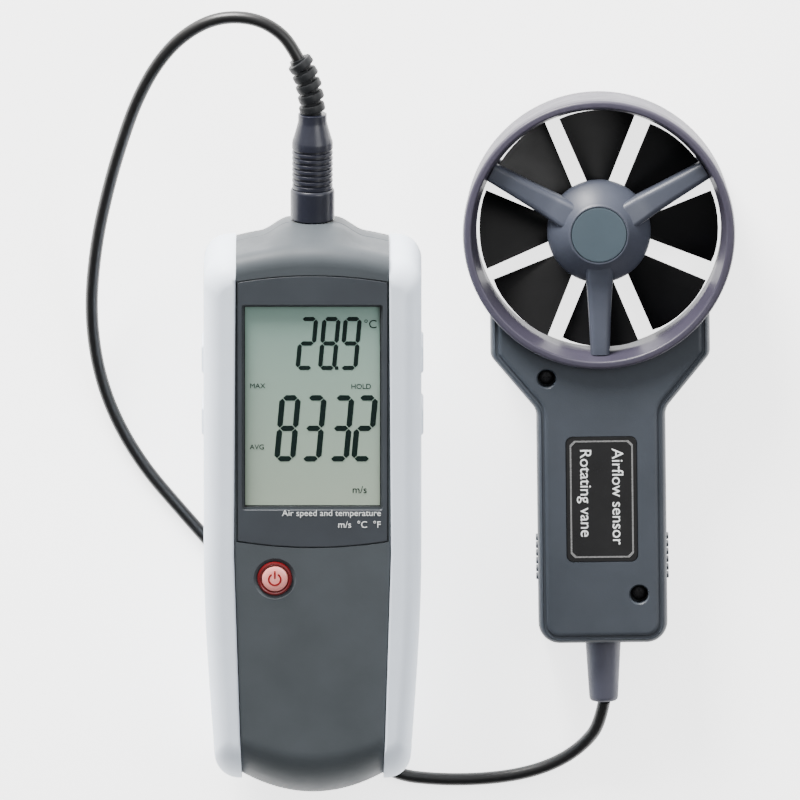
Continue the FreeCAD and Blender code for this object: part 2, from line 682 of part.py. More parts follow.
def cord_route(meter, probe):
    """The cord's route on the table, from the plug's boot to the probe's gland."""
    start = meter.multVec(boot_joints()[-1])
    finish = probe.multVec(Vector(0, size("handle_end") - size("gland_length"), size("cord_level")))
    floor = size("cord_diameter") / 2
    loop = [(-61.5, 144.5, 55.0), (-66.1, 149.1, 55.2), (-72.2, 152.3, 54.9), (-79.4, 153.4, 54.2),
            (-87.0, 152.5, 53.0), (-94.2, 149.1, 51.2), (-101.4, 143.3, 48.8), (-107.8, 134.9, 45.6),
            (-112.8, 125.4, 41.8), (-116.9, 115.1, 37.8), (-123.4, 93.6, 28.6), (-128.8, 68.2, 18.6),
            (-130.7, 41.4, 9.8), (-126.2, 15.4, 4.0), (-114.6, -7.9, floor)]
    below = [(-97.2, -28.4, floor), (-79.6, -48.2, floor), (-63.8, -69.4, floor), (-51.0, -90.2, floor),
             (-38.6, -108.2, floor), (-26.2, -118.5, floor)]
    tail = [(-10.4, -120.4, floor), (7.2, -120.1, floor), (21.8, -117.7, floor + 0.1), (33.2, -112.9, 3.4),
            (41.0, -106.4, 6.3), (45.5, -99.4, 10.4)]
    return [start] + [Vector(*point) for point in loop + below + tail] + [finish]


def make_cord(meter, probe):
    """The cord: straight runs joined by tangent arcs, as large as their runs allow."""
    route = cord_route(meter, probe)
    radius = size("cord_diameter") / 2
    edges, here, radii = [], route[0], []
    for before, corner, after in zip(route, route[1:], route[2:]):
        shorter = min((corner - before).Length, (after - corner).Length)
        half_turn = (corner - before).getAngle(after - corner) / 2
        radii.append(0.45 * shorter / math.tan(half_turn))
        arc = corner_arc(before, corner, after, radii[-1])
        edges += [Part.LineSegment(here, arc.StartPoint).toShape(), arc.toShape()]
        here = arc.EndPoint
    edges.append(Part.LineSegment(here, route[-1]).toShape())
    path = Part.Wire(edges)
    section = Part.Wire(Part.Circle(route[0], route[1] - route[0], radius).toShape())
    cord = doc.addObject("Part::Feature", "Cord")
    cord.Shape = path.makePipeShell([section], True, False)
    nodes["probe_cord"] = cord
    cord.Label = "probe_cord"
    expected = path.Length * math.pi * radius ** 2
    print("cord length", round(path.Length, 1), "volume ratio", round(cord.Shape.Volume / expected, 4))
    print("cord radii", [round(value, 1) for value in radii])
    print("cord runs", [round((after - before).Length, 1) for before, after in zip(route, route[1:])])


# ---------------------------------------------------------------- the whole set

def meter_frame():
    """The display unit's place: leaning on its rear foot and its fold-out foot, both touching the table."""
    lean, reach, radius = math.radians(size("stand_lean")), size("stand_reach"), size("foot_radius")
    tip_along = size("stand_along") + reach * math.sin(lean)
    tip_height = size("stand_height") - reach * math.cos(lean)
    drop, run = size("foot_height") - tip_height, tip_along - size("foot_along")
    tilt = math.atan2(drop, run)
    lift = radius - size("foot_along") * math.sin(tilt) - size("foot_height") * math.cos(tilt)
    print("tilt", round(math.degrees(tilt), 4), "lift", round(lift, 4))
    return Placement(Vector(size("meter_across"), size("meter_along"), lift), Rotation(Vector(1, 0, 0), math.degrees(tilt)))


def probe_frame():
    """The probe's place, flat on the table."""
    return Placement(Vector(size("ring_across"), size("ring_along"), 0), Rotation(Vector(0, 0, 1), size("probe_turn")))


def check_document():
    """Stop when any object failed or any piece has no sound shape."""
    doc.recompute()
    for item in doc.Objects:
        if "Invalid" in item.State or "Error" in item.State:
            raise RuntimeError(f"{item.Name} ({item.Label}) did not build: {item.State}")
    for name, item in nodes.items():
        if item.Shape.isNull() or not item.Shape.isValid() or item.Shape.Volume <= 0:
            raise RuntimeError(f"{name} has no sound shape")


def write_parts():
    """One STEP file for each piece."""
    os.makedirs("parts", exist_ok=True)
    for name, item in nodes.items():
        item.Shape.exportStep(f"parts/{name}.step")


def report_extent():
    """Print the extent of everything but the cord and its plug."""
    extent = FreeCAD.BoundBox()
    for name, item in nodes.items():
        if name not in ("probe_cord", "plug_collar", "plug_grip", "plug_boot", "plug_pins"):
            extent.add(item.Shape.optimalBoundingBox(False))
    print("extent", extent)


fill_sheet()
METER = meter_frame()
PROBE = probe_frame()
for make in (make_shells, make_cheeks, make_display, make_power_key, make_electronics, make_socket, make_battery,
             make_stand, make_back_pieces, make_plug):
    make(METER)
for make in (make_duct, make_bearings, make_rotor, make_handle, make_probe_inside, make_gland):
    make(PROBE)
make_cord(METER, PROBE)
check_document()
write_parts()
report_extent()
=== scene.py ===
"""Looks of a handheld vane anemometer: display unit, probe and cord. Metres, in the CAD model's frame.

Pieces are drawn in millimetres in one of two local frames and carried into place by METER or PROBE:
METER has X across the display unit, Y from its bottom end to its plug end and Z out of its face.
PROBE has the rotor's axis as Z and the handle along -Y, with its back on the table.
"""

import json
import math

import bmesh
import bpy
from mathutils import Matrix, Vector


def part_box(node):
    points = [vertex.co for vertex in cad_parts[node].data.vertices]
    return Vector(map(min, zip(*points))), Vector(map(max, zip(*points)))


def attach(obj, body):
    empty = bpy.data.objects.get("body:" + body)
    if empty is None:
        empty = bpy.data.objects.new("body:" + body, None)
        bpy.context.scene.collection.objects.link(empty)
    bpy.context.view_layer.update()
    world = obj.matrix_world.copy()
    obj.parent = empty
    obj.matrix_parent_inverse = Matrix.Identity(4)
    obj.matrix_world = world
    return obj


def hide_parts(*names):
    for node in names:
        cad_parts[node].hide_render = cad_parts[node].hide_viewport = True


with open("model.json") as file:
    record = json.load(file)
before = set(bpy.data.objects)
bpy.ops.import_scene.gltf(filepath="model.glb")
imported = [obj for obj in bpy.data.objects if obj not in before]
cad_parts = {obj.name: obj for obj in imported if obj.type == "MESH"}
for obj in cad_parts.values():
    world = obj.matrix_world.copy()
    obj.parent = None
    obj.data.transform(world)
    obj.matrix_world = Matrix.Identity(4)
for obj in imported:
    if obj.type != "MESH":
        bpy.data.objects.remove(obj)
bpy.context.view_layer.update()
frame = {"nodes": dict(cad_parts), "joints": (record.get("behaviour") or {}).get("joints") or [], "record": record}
NODES = frame["nodes"]
JOINTS = {joint["name"]: joint for joint in frame["joints"]}
MM = 0.001


def put(name, data):
    """A new object in the scene."""
    item = bpy.data.objects.new(name, data)
    bpy.context.scene.collection.objects.link(item)
    return item


# ---- local frames

STAND_HINGE = Vector((0, 135.0, 2.6))


def meter_frame():
    """From the display unit's millimetres to the scene, worked out from its joints."""
    along = Vector(JOINTS["plug_pull"]["axis"])
    outward = -Vector(JOINTS["power_press"]["axis"])
    across = along.cross(outward)
    turn = Matrix((across, along, outward)).transposed()
    corner = Vector(JOINTS["stand_fold"]["pos_m"]) - turn @ (STAND_HINGE * MM)
    return Matrix.Translation(corner) @ turn.to_4x4() @ Matrix.Scale(MM, 4)


def probe_frame():
    """From the probe's millimetres to the scene: its back on the table, its handle towards the gland."""
    centre = Vector(JOINTS["vane_spin"]["pos_m"])
    low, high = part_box("cable_gland")
    handle = (low + high) / 2 - centre
    turn = math.atan2(handle.x, -handle.y)
    return Matrix.Translation((centre.x, centre.y, 0)) @ Matrix.Rotation(turn, 4, "Z") @ Matrix.Scale(MM, 4)


METER = meter_frame()
PROBE = probe_frame()

# Levels and places in the display unit's millimetres.
PARTING = 22.0
FACE = 46.0
READING = (43.2, 43.28)
PLUG_AXIS = 19
PLUG_END_HALF = 26.3
KEY_PLACE = (-13.0, 81.9, 0)
SCREW_PLACES = ((-20, 20), (20, 20), (-20, 183), (20, 183))

# Levels, places and counts in the probe's millimetres.
LABEL_FACE = 25.32
PROBE_SCREW_PLACES = ((-18.6, -50.5), (12.6, -126.1))
ROTOR_MIDDLE = 12
BLADES = 8
BLADE_PITCH = math.radians(20)
SPIDER_ANGLES = (30, 150, 270)

PRINT_THICKNESS = 0.1


# ---- materials

def shader(name, colour, roughness, **sockets):
    """A material with one Principled shader; constants go straight on its sockets."""
    material = bpy.data.materials.new(name)
    material.use_nodes = True
    surface = material.node_tree.nodes["Principled BSDF"]
    surface.inputs["Base Color"].default_value = (*colour, 1)
    surface.inputs["Roughness"].default_value = roughness
    for socket, value in sockets.items():
        surface.inputs[socket.replace("_", " ")].default_value = value
    return material, surface


def noise(tree, scale, detail=3.0, roughness=0.5, stretch=(1, 1, 1)):
    """Noise in the object's own coordinates; the scale is in features per metre."""
    place = tree.nodes.new("ShaderNodeTexCoord")
    mapping = tree.nodes.new("ShaderNodeMapping")
    mapping.inputs["Scale"].default_value = stretch
    texture = tree.nodes.new("ShaderNodeTexNoise")
    texture.inputs["Scale"].default_value = scale
    texture.inputs["Detail"].default_value = detail
    texture.inputs["Roughness"].default_value = roughness
    tree.links.new(place.outputs["Object"], mapping.inputs["Vector"])
    tree.links.new(mapping.outputs["Vector"], texture.inputs["Vector"])
    return texture.outputs["Fac"]


def spread(tree, value, low, high, start=0.3, end=0.7):
    """Map a 0 to 1 value onto a range."""
    node = tree.nodes.new("ShaderNodeMapRange")
    node.inputs["From Min"].default_value = start
    node.inputs["From Max"].default_value = end
    node.inputs["To Min"].default_value = low
    node.inputs["To Max"].default_value = high
    tree.links.new(value, node.inputs["Value"])
    return node.outputs["Result"]


def blend_colours(tree, factor, first, second):
    """A colour that runs from the first to the second with the factor."""
    node = tree.nodes.new("ShaderNodeMix")
    node.data_type = "RGBA"
    node.inputs[6].default_value = (*first, 1)
    node.inputs[7].default_value = (*second, 1)
    tree.links.new(factor, node.inputs[0])
    return node.outputs[2]


def bump(tree, surface, height, strength, distance):
    """Raise the surface by a height value, adding to any bump that is already there."""
    node = tree.nodes.new("ShaderNodeBump")
    node.inputs["Strength"].default_value = strength
    node.inputs["Distance"].default_value = distance
    tree.links.new(height, node.inputs["Height"])
    socket = surface.inputs["Normal"]
    if socket.is_linked:
        tree.links.new(socket.links[0].from_socket, node.inputs["Normal"])
    tree.links.new(node.outputs["Normal"], socket)


def plastic(name, colour, roughness, grain=0.25, grain_scale=2600, mottle=0.08, **sockets):
    """Moulded plastic or rubber: fine grain, with slightly uneven colour and gloss."""
    material, surface = shader(name, colour, roughness, **sockets)
    tree = material.node_tree
    blotch = noise(tree, 55, 4.0)
    dark = [channel * (1 - mottle) for channel in colour]
    light = [min(1, channel * (1 + mottle)) for channel in colour]
    shade = blend_colours(tree, spread(tree, blotch, 0, 1), dark, light)
    tree.links.new(shade, surface.inputs["Base Color"])
    gloss = spread(tree, noise(tree, 140, 5.0, 0.6), roughness * 0.88, min(1, roughness * 1.12))
    tree.links.new(gloss, surface.inputs["Roughness"])
    bump(tree, surface, noise(tree, grain_scale, 2.0), grain, 0.00006)
    bump(tree, surface, noise(tree, 320, 2.0), grain * 0.35, 0.0001)
    return material


def metal(name, colour, roughness):
    """Bare or plated metal, with a fine streaked gloss and slightly uneven colour."""
    material, surface = shader(name, colour, roughness, Metallic=1.0)
    tree = material.node_tree
    streaks = noise(tree, 900, 3.0, 0.5, (1, 12, 1))
    tree.links.new(spread(tree, streaks, roughness * 0.7, roughness * 1.4), surface.inputs["Roughness"])
    bump(tree, surface, streaks, 0.3, 0.00003)
    dark = [channel * 0.86 for channel in colour]
    shade = blend_colours(tree, spread(tree, noise(tree, 240), 0, 1), dark, colour)
    tree.links.new(shade, surface.inputs["Base Color"])
    return material


def srgb(red, green, blue):
    """Linear colour from display values of 0 to 255."""
    def linear(value):
        value = value / 255
        return value / 12.92 if value <= 0.04045 else ((value + 0.055) / 1.055) ** 2.4
    return tuple(linear(value) for value in (red, green, blue))


def lens_material():
    """The clear window, with a very faint streaked gloss."""
    material, surface = shader("clear_window", (0.02, 0.025, 0.022), 0.05, Alpha=0.05, IOR=1.45)
    tree = material.node_tree
    streaks = noise(tree, 700, 4.0, 0.7, (1, 9, 1))
    bump(tree, surface, streaks, 0.03, 0.00002)
    tree.links.new(spread(tree, streaks, 0.04, 0.12), surface.inputs["Roughness"])
    return material


def lcd_material():
    """Reflective liquid crystal: grey green with a fine grain, and painted shade that makes it darker towards its
    upper end and paler towards its low end.
    """
    material, surface = shader("liquid_crystal", srgb(150, 172, 160), 0.5, Specular_IOR_Level=0.15)
    tree = material.node_tree
    place = tree.nodes.new("ShaderNodeTexCoord")
    parts = tree.nodes.new("ShaderNodeSeparateXYZ")
    tree.links.new(place.outputs["Generated"], parts.inputs["Vector"])
    # Painted shade: the colour runs from pale at the low end to a darker grey green at the upper end.
    along = spread(tree, parts.outputs["Y"], 0, 1, 0, 1)
    tint = blend_colours(tree, along, srgb(166, 180, 164), srgb(142, 172, 162))
    cloud = noise(tree, 12, 2.0)
    clouded = tree.nodes.new("ShaderNodeHueSaturation")
    tree.links.new(tint, clouded.inputs["Color"])
    tree.links.new(spread(tree, cloud, 0.94, 1.05), clouded.inputs["Value"])
    tree.links.new(clouded.outputs["Color"], surface.inputs["Base Color"])
    bump(tree, surface, noise(tree, 5200, 1.0), 0.12, 0.00003)
    return material


CASE_GREY = plastic("case_grey", srgb(67, 72, 76), 0.5, 0.3, Specular_IOR_Level=0.22)
BEZEL_GREY = plastic("bezel_grey", srgb(58, 62, 67), 0.34, 0.12, Specular_IOR_Level=0.3)
CHEEK = plastic("cheek_light", srgb(224, 234, 247), 0.5, 0.3, 3200, 0.03)
PROBE_GREY = plastic("probe_grey", srgb(54, 59, 66), 0.44, 0.4, Specular_IOR_Level=0.35)
RING_GREY = plastic("ring_grey", srgb(57, 54, 67), 0.42, 0.4, Specular_IOR_Level=0.4)
SPIDER_GREY = plastic("spider_grey", srgb(62, 66, 77), 0.42, 0.35, Specular_IOR_Level=0.4)
CAP_GREY = plastic("cap_grey", srgb(60, 72, 80), 0.42, 0.3, Specular_IOR_Level=0.4)
BLADE_BLACK = plastic("blade_black", srgb(13, 13, 14), 0.38, 0.1, Specular_IOR_Level=0.22)
LABEL_BLACK = plastic("label_black", srgb(22, 22, 23), 0.3, 0.12)
SILVER = metal("silver_line", (0.78, 0.78, 0.78), 0.25)
GLAND_GREY = plastic("gland_grey", srgb(68, 69, 82), 0.5, 0.3)
PLUG_BLACK = plastic("plug_black", srgb(24, 26, 37), 0.33, 0.2)
CORD_BLACK = plastic("cord_black", srgb(12, 12, 13), 0.36, 0.2, 4200)
RUBBER_BLACK = plastic("rubber_black", srgb(24, 24, 25), 0.72, 0.5)
RING_RED = plastic("ring_red", srgb(92, 10, 15), 0.28, 0.06, Coat_Weight=0.25)
KEY_RED = plastic("key_red", srgb(243, 148, 142), 0.35, 0.08, Coat_Weight=0.3, Subsurface_Weight=0.15)
SYMBOL_RED = plastic("symbol_red", srgb(130, 12, 16), 0.4, 0.06)
DIGIT_DARK = plastic("digit_dark", srgb(14, 30, 28), 0.6, 0.05, Specular_IOR_Level=0.1)
PRINT_WHITE = plastic("print_white", srgb(225, 228, 228), 0.5, 0.1)
BOARD_GREEN = plastic("board_green", (0.02, 0.12, 0.05), 0.35, 0.2)
BLACK_PLASTIC = plastic("black_plastic", srgb(20, 20, 21), 0.4, 0.2)
WHITE_PLASTIC = plastic("white_plastic", srgb(220, 220, 214), 0.5, 0.1)
STEEL = metal("steel", (0.56, 0.57, 0.58), 0.3)
NICKEL = metal("nickel", (0.7, 0.69, 0.66), 0.22)
BRASS = metal("brass", (0.75, 0.56, 0.24), 0.3)
BLACK_STEEL = metal("black_steel", (0.045, 0.045, 0.048), 0.4)
RELIEF_BLACK = plastic("relief_black", srgb(15, 17, 20), 0.5, 0.3, Specular_IOR_Level=0.35)
LENS = lens_material()
LCD = lcd_material()

NODE_MATERIALS = { "case_grey": CASE_GREY, "cheek_light": CHEEK, "bezel": BEZEL_GREY, "lens_clear": LENS,
                  "lcd": LCD, "backlight": WHITE_PLASTIC, "key_ring": RING_RED, "key_cap": KEY_RED,
                  "spring_steel": STEEL, "circuit_board": BOARD_GREEN, "chip_black": BLACK_PLASTIC,
                  "buzzer_black": BLACK_PLASTIC, "screw_steel": STEEL, "socket_black": BLACK_PLASTIC,
                  "nickel": NICKEL, "battery_jacket": BLACK_PLASTIC, "snap_black": BLACK_PLASTIC,
                  "cover_grey": CASE_GREY, "stand_grey": CASE_GREY, "black_rubber": RUBBER_BLACK,
                  "brass": BRASS, "ring_grey": RING_GREY, "spider_grey": SPIDER_GREY, "cap_grey": CAP_GREY,
                  "blade_black": BLADE_BLACK, "bush": BRASS, "magnet": NICKEL, "probe_grey": PROBE_GREY,
                  "label": LABEL_BLACK, "gland_grey": GLAND_GREY, "plug_black": PLUG_BLACK,
                  "cord_jacket": CORD_BLACK, }


def dress_nodes():
    """Every carried-over CAD node gets the procedural material of its slot."""
    for entry in frame["record"]["subparts"]:
        mesh = NODES[entry["node"]].data
        mesh.materials.clear()
        mesh.materials.append(NODE_MATERIALS[entry["material_slot"]])


# ---- mesh building

def cut_away(mesh, cutters):
    """The mesh without the space of some closed solids."""
    base = put("base", mesh)
    tools = []
    for points, faces in cutters:
        shape = bpy.data.meshes.new("cutter")
        shape.from_pydata([Vector(point) for point in points], [], faces)
        weld(shape)
        tool = put("cutter", shape)
        tools.append(tool)
        change = base.modifiers.new("cut", "BOOLEAN")
        change.operation = "DIFFERENCE"
        change.solver = "EXACT"
        change.object = tool
    graph = bpy.context.evaluated_depsgraph_get()
    result = bpy.data.meshes.new_from_object(base.evaluated_get(graph), depsgraph=graph)
    bpy.data.objects.remove(base)
    for tool in tools:
        shape = tool.data
        bpy.data.objects.remove(tool)
        bpy.data.meshes.remove(shape)
    return result


def weld(mesh):
    """Join doubled corners and turn every face outwards."""
    tidy = bmesh.new()
    tidy.from_mesh(mesh)
    bmesh.ops.remove_doubles(tidy, verts=tidy.verts, dist=1e-5)
    bmesh.ops.recalc_face_normals(tidy, faces=tidy.faces)
    tidy.to_mesh(mesh)
    tidy.free()


def smooth_faces(mesh, limit):
    """Smooth shading, with edges over a limit of degrees kept crisp."""
    tidy = bmesh.new()
    tidy.from_mesh(mesh)
    for face in tidy.faces:
        face.smooth = True
    for edge in tidy.edges:
        edge.smooth = len(edge.link_faces) == 2 and edge.calc_face_angle(0) < math.radians(limit)
    tidy.to_mesh(mesh)
    tidy.free()


def piece(name, solid, place, material, body, replaced=(), sharp=35, cuts=()):
    """A mesh object from a local solid, on its body, in place of the CAD nodes that it stands for."""
    mesh = bpy.data.meshes.new(name)
    mesh.from_pydata([Vector(point) for point in solid[0]], [], solid[1])
    weld(mesh)
    if cuts:
        mesh = cut_away(mesh, cuts)
    mesh.name = name
    mesh.transform(place)
    if place.to_3x3().determinant() < 0:
        mesh.flip_normals()
    smooth_faces(mesh, sharp)
    mesh.materials.clear()
    mesh.materials.append(material)
    item = put(name, mesh)
    weigh = item.modifiers.new("weighted", "WEIGHTED_NORMAL")
    weigh.keep_sharp = True
    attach(item, body)
    if replaced:
        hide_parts(*replaced)
    return item


def rings_to_solid(rings):
    """Points and faces of a skin through equal rings, capped at both ends."""
    count = len(rings[0])
    points = [point for ring in rings for point in ring]
    faces = []
    for row in range(len(rings) - 1):
        low, high = row * count, (row + 1) * count
        for column in range(count):
            beside = (column + 1) % count
            faces.append((low + column, low + beside, high + beside, high + column))
    faces.append(tuple(reversed(range(count))))
    faces.append(tuple(range((len(rings) - 1) * count, len(rings) * count)))
    return points, faces


def lathe(profile, segments=96):
    """A closed solid turned about Z from (radius, height) points; a radius of 0 closes an end."""
    points, faces, rows = [], [], []
    for radius, height in profile:
        if radius < 1e-9:
            rows.append([len(points)] * segments)
            points.append((0, 0, height))
        else:
            rows.append(list(range(len(points), len(points) + segments)))
            for number in range(segments):
                angle = 2 * math.pi * number / segments
                points.append((radius * math.cos(angle), radius * math.sin(angle), height))
    is_ring = profile[0][0] > 1e-9 and profile[-1][0] > 1e-9
    pairs = list(zip(rows, rows[1:])) + ([(rows[-1], rows[0])] if is_ring else [])
    for lower, upper in pairs:
        for number in range(segments):
            beside = (number + 1) % segments
            corners = []
            for index in (lower[number], lower[beside], upper[beside], upper[number]):
                if index not in corners:
                    corners.append(index)
            if len(corners) > 2:
                faces.append(tuple(corners))
    return points, faces


def arc(centre, radius, start, end, count):
    """Points on an arc in two dimensions, with its angles in degrees."""
    turns = [math.radians(start + (end - start) * number / count) for number in range(count + 1)]
    return [(centre[0] + radius * math.cos(turn), centre[1] + radius * math.sin(turn)) for turn in turns]


def rounded_outline(corners, count=8):
    """A closed outline of points from (x, y, radius) corners, listed counter-clockwise."""
    points = []
    for number, (x, y, radius) in enumerate(corners):
        here = Vector((x, y))
        back = (Vector(corners[number - 1][:2]) - here).normalized()
        ahead = (Vector(corners[(number + 1) % len(corners)][:2]) - here).normalized()
        if radius <= 0:
            points.append((x, y))
            continue
        half = back.angle(ahead) / 2
        centre = here + (back + ahead).normalized() * (radius / math.sin(half))
        first = here + back * (radius / math.tan(half)) - centre
        last = here + ahead * (radius / math.tan(half)) - centre
        turn = first.angle_signed(last)
        for step in range(count + 1):
            spoke = Matrix.Rotation(-turn * step / count, 2) @ first
            points.append(tuple(centre + spoke))
    return points


def inset(outline, distance):
    """The outline moved inwards by a distance, corner by corner."""
    moved = []
    for number, point in enumerate(outline):
        here = Vector(point)
        back = (here - Vector(outline[number - 1])).normalized()
        ahead = (Vector(outline[(number + 1) % len(outline)]) - here).normalized()
        normal = Vector((-back.y - ahead.y, back.x + ahead.x)).normalized()
        stretch = max(0.5, normal.dot(Vector((-back.y, back.x))))
        moved.append(tuple(here + normal * distance / stretch))
    return moved


def slab(outline, low, high, low_round=0.0, high_round=0.0, steps=5):
    """A closed solid from an outline, with its lower and upper rims rounded."""
    rings = []
    for step in range(steps + 1 if low_round else 0):
        turn = math.pi / 2 * step / steps
        rings.append((low_round * (1 - math.sin(turn)), low + low_round * (1 - math.cos(turn))))
    if not low_round:
        rings.append((0, low))
    for step in range(steps + 1 if high_round else 0):
        turn = math.pi / 2 * step / steps
        rings.append((high_round * (1 - math.cos(turn)), high - high_round * (1 - math.sin(turn))))
    if not high_round:
        rings.append((0, high))
    return rings_to_solid([[(x, y, level) for x, y in inset(outline, amount)] for amount, level in rings])


def spindle(profile, base, segments):
    """A closed solid turned about an axis that runs along Y from a base point."""
    points, faces = lathe(profile, segments)
    return [(base[0] + x, base[1] + z, base[2] - y) for x, y, z in points], faces


def joined(*solids):
    """Several point and face lists as one."""
    points, faces = [], []
    for some_points, some_faces in solids:
        faces += [tuple(index + len(points) for index in face) for face in some_faces]
        points += list(some_points)
    return points, faces


# ---- the display unit's case

def smooth(value):
    """An S-shaped step from 0 to 1."""
    value = min(1.0, max(0.0, value))
    return value * value * (3 - 2 * value)


def case_half_width(y):
    """Half the width of the case's dark middle, which narrows towards both ends."""
    widest, waist = 26.9, 90
    return widest - 2.6 * (waist - y) / 83 if y < waist else widest - 0.6 * (y - waist) / 105


def plug_end(x, hump):
    """Where the case ends at its plug end: a gentle arch, with a hump round the socket."""
    return 195.9 + 3.4 * (1 - (x / PLUG_END_HALF) ** 2) + 3.7 * hump * smooth((18 - abs(x)) / 10)


def case_ring(level, side, rise, drop, hump):
    """The case's outline at one level; side, rise and drop move its sides and its two ends inwards."""
    arch = 7.0
    corner = arch + rise
    low_half, high_half = case_half_width(corner) - side, PLUG_END_HALF - side
    ring = []
    for step in range(25):
        x = low_half * (step / 12 - 1)
        ring.append((x, corner - arch * (1 - rise / 130) * (1 - (x / low_half) ** 2), level))
    end = plug_end(high_half, hump) - drop
    rows = [corner + (end - corner) * step / 16 for step in range(1, 16)]
    ring += [(case_half_width(y) - side, y, level) for y in rows]
    for step in range(41):
        x = high_half * (1 - step / 20)
        ring.append((x, plug_end(x, hump) - drop, level))
    ring += [(side - case_half_width(y), y, level) for y in reversed(rows)]
    return ring


def front_case():
    """The front shell: it curves down to the bottom end, and leans out to the socket's hump."""
    levels = [(22.0, 0.25, 0.3, 1.0), (22.3, 0, 0, 1.0), (26.8, 0, 0, 1.0), (29, 0, 0, 0.9),
              (31.5, 0, 0, 0.76), (34, 0, 0, 0.6), (37.4, 0, 0, 0.37), (39.6, 0, 0, 0.22),
              (41, 0, 0.05, 0.14), (42.5, 0, 0.35, 0.06), (43.6, 0, 0.9, 0.03), (44.5, 0, 1.7, 0.01),
              (45.2, 0.02, 2.7, 0), (45.6, 0.08, 3.7, 0), (45.85, 0.2, 4.7, 0), (46.0, 0.5, 6.2, 0)]
    rings = []
    for level, side, drop, hump in levels:
        curve = 1 - math.sqrt(max(0, 1 - ((level - PARTING) / (FACE - PARTING)) ** 2))
        rise = 19 * curve + (0.3 if level == PARTING else 0)
        rings.append(case_ring(level, side, rise, drop, hump))
    return rings_to_solid(rings)


def rear_case():
    """The rear shell: its plug end is drawn in behind the socket, and its rim is rounded."""
    levels = [(0.0, 1.2, 8.0, 11.0, 0.5), (0.3, 0.6, 6.4, 9.3, 0.55), (1.0, 0.25, 4.1, 7.3, 0.65),
              (2.5, 0.05, 2.2, 5.0, 0.8), (5.0, 0, 0.6, 3.0, 0.92), (8.0, 0, 0, 1.6, 1.0),
              (12.0, 0, 0, 0.6, 1.0), (16.0, 0, 0, 0.1, 1.0), (19.0, 0, 0, 0, 1.0), (21.7, 0, 0, 0, 1.0),
              (22.0, 0.25, 0.3, 0.3, 1.0)]
    return rings_to_solid([case_ring(*level) for level in levels])


def bezel_outline(gap):
    """The bezel plate's outline: straight sides, an arched top and a bottom edge that bulges down."""
    half = 25.9 + gap
    spots = [half * (step / 16 - 1) for step in range(33)]
    bottom = [(x, 93.1 - gap + 2.2 * (x / half) ** 2) for x in spots]
    top = [(x, 189.9 + gap - 2.3 * (x / half) ** 2) for x in reversed(spots)]
    return bottom + top


def rectangle(half_x, low, high, radius):
    """A rounded rectangle about X = 0."""
    return rounded_outline([(half_x, low, radius), (half_x, high, radius), (-half_x, high, radius),
                            (-half_x, low, radius)])


def block(low, high):
    """A plain closed block between two opposite corners."""
    outline = [(low[0], low[1]), (high[0], low[1]), (high[0], high[1]), (low[0], high[1])]
    return slab(outline, low[2], high[2])


def shifted(solid, offset):
    """A solid moved by an offset."""
    points, faces = solid
    return [tuple(Vector(point) + Vector(offset)) for point in points], faces


def at_each(places, *solids):
    """Every solid at every (x, y) place."""
    return [shifted(solid, (x, y, 0)) for x, y in places for solid in solids]


def turned_by(solid, turn):
    """A solid with its points carried by a matrix."""
    points, faces = solid
    return [tuple(turn @ Vector(point)) for point in points], faces


def socket_cutter():
    """The bore for the probe socket with the wider seat of its ring."""
    profile = [(0, 0), (6.25, 0), (6.25, 17.5), (7.45, 17.5), (7.45, 24), (0, 24)]
    return spindle(profile, (0, 184, PLUG_AXIS), 64)


def make_case():
    """Front and rear shells with their seats, wells, bores and screw holes."""
    key_well = lathe([(0, 40), (6.05, 40), (6.05, 45.1), (6.3, 45.25), (7.35, 46.02), (7.45, 48), (0, 48)])
    front_cuts = [slab(bezel_outline(0.3), 44.8, 50), block((-23.45, 107.2, 38), (23.45, 178.8, 50)),
                  shifted(key_well, KEY_PLACE), socket_cutter()]
    piece("case_front", front_case(), METER, CASE_GREY, "meter", ["front_shell"],
          cuts=front_cuts)
    rear_cuts = [block((-24, 109, -5), (24, 137.1, 1.5)), block((-24, 109, 1.0), (24, 139.5, 5.4)),
                 block((-17.8, 36.8, -5), (17.8, 88, 5)), block((-14, 38, 3), (14, 92, 21.5)),
                 shifted(lathe([(0, -5), (4.25, -5), (4.25, 10.1), (0, 10.1)], 48), (0, 165, 0)),
                 block((-10.1, 4.9, -5), (10.1, 10.1, 1.0)), socket_cutter()]
    well = lathe([(0, -5), (3.5, -5), (3.5, 0), (3.1, 0.4), (3.1, 3.0), (0, 3.0)], 40)
    rear_cuts += at_each(SCREW_PLACES, well)
    piece("case_rear", rear_case(), METER, CASE_GREY, "meter", ["rear_shell"], cuts=rear_cuts)


def cheek_outline(side, end, front_end, inner):
    """The right cheek's outline with its outer side, its ends and its inner edge moved inwards."""
    low = 6.2 + max(end, front_end)
    high = 194.5 - end
    spine = []
    for step in range(9):
        part = step / 8
        spine.append((35.1 + 2.4 * math.sin(part * math.pi / 2) - side, 34 + 56 * part, 0))
    low_inner, low_outer = 24.42 + 2.5 * (low - 6.2) / 84 + inner, 33.2 + 1.9 * (low - 6.2) / 28 - side
    high_inner, high_outer = 26.36 + inner, 37.5 - side
    corners = [(low_inner, low, 0), (low_outer, low, min(11.0, 0.97 * (low_outer - low_inner)))]
    corners += spine + [(high_outer, high, min(9.5, 0.8 * (high_outer - high_inner))), (high_inner, high, 0),
                        (26.98 + inner, 90, 0)]
    return rounded_outline(corners, 10)


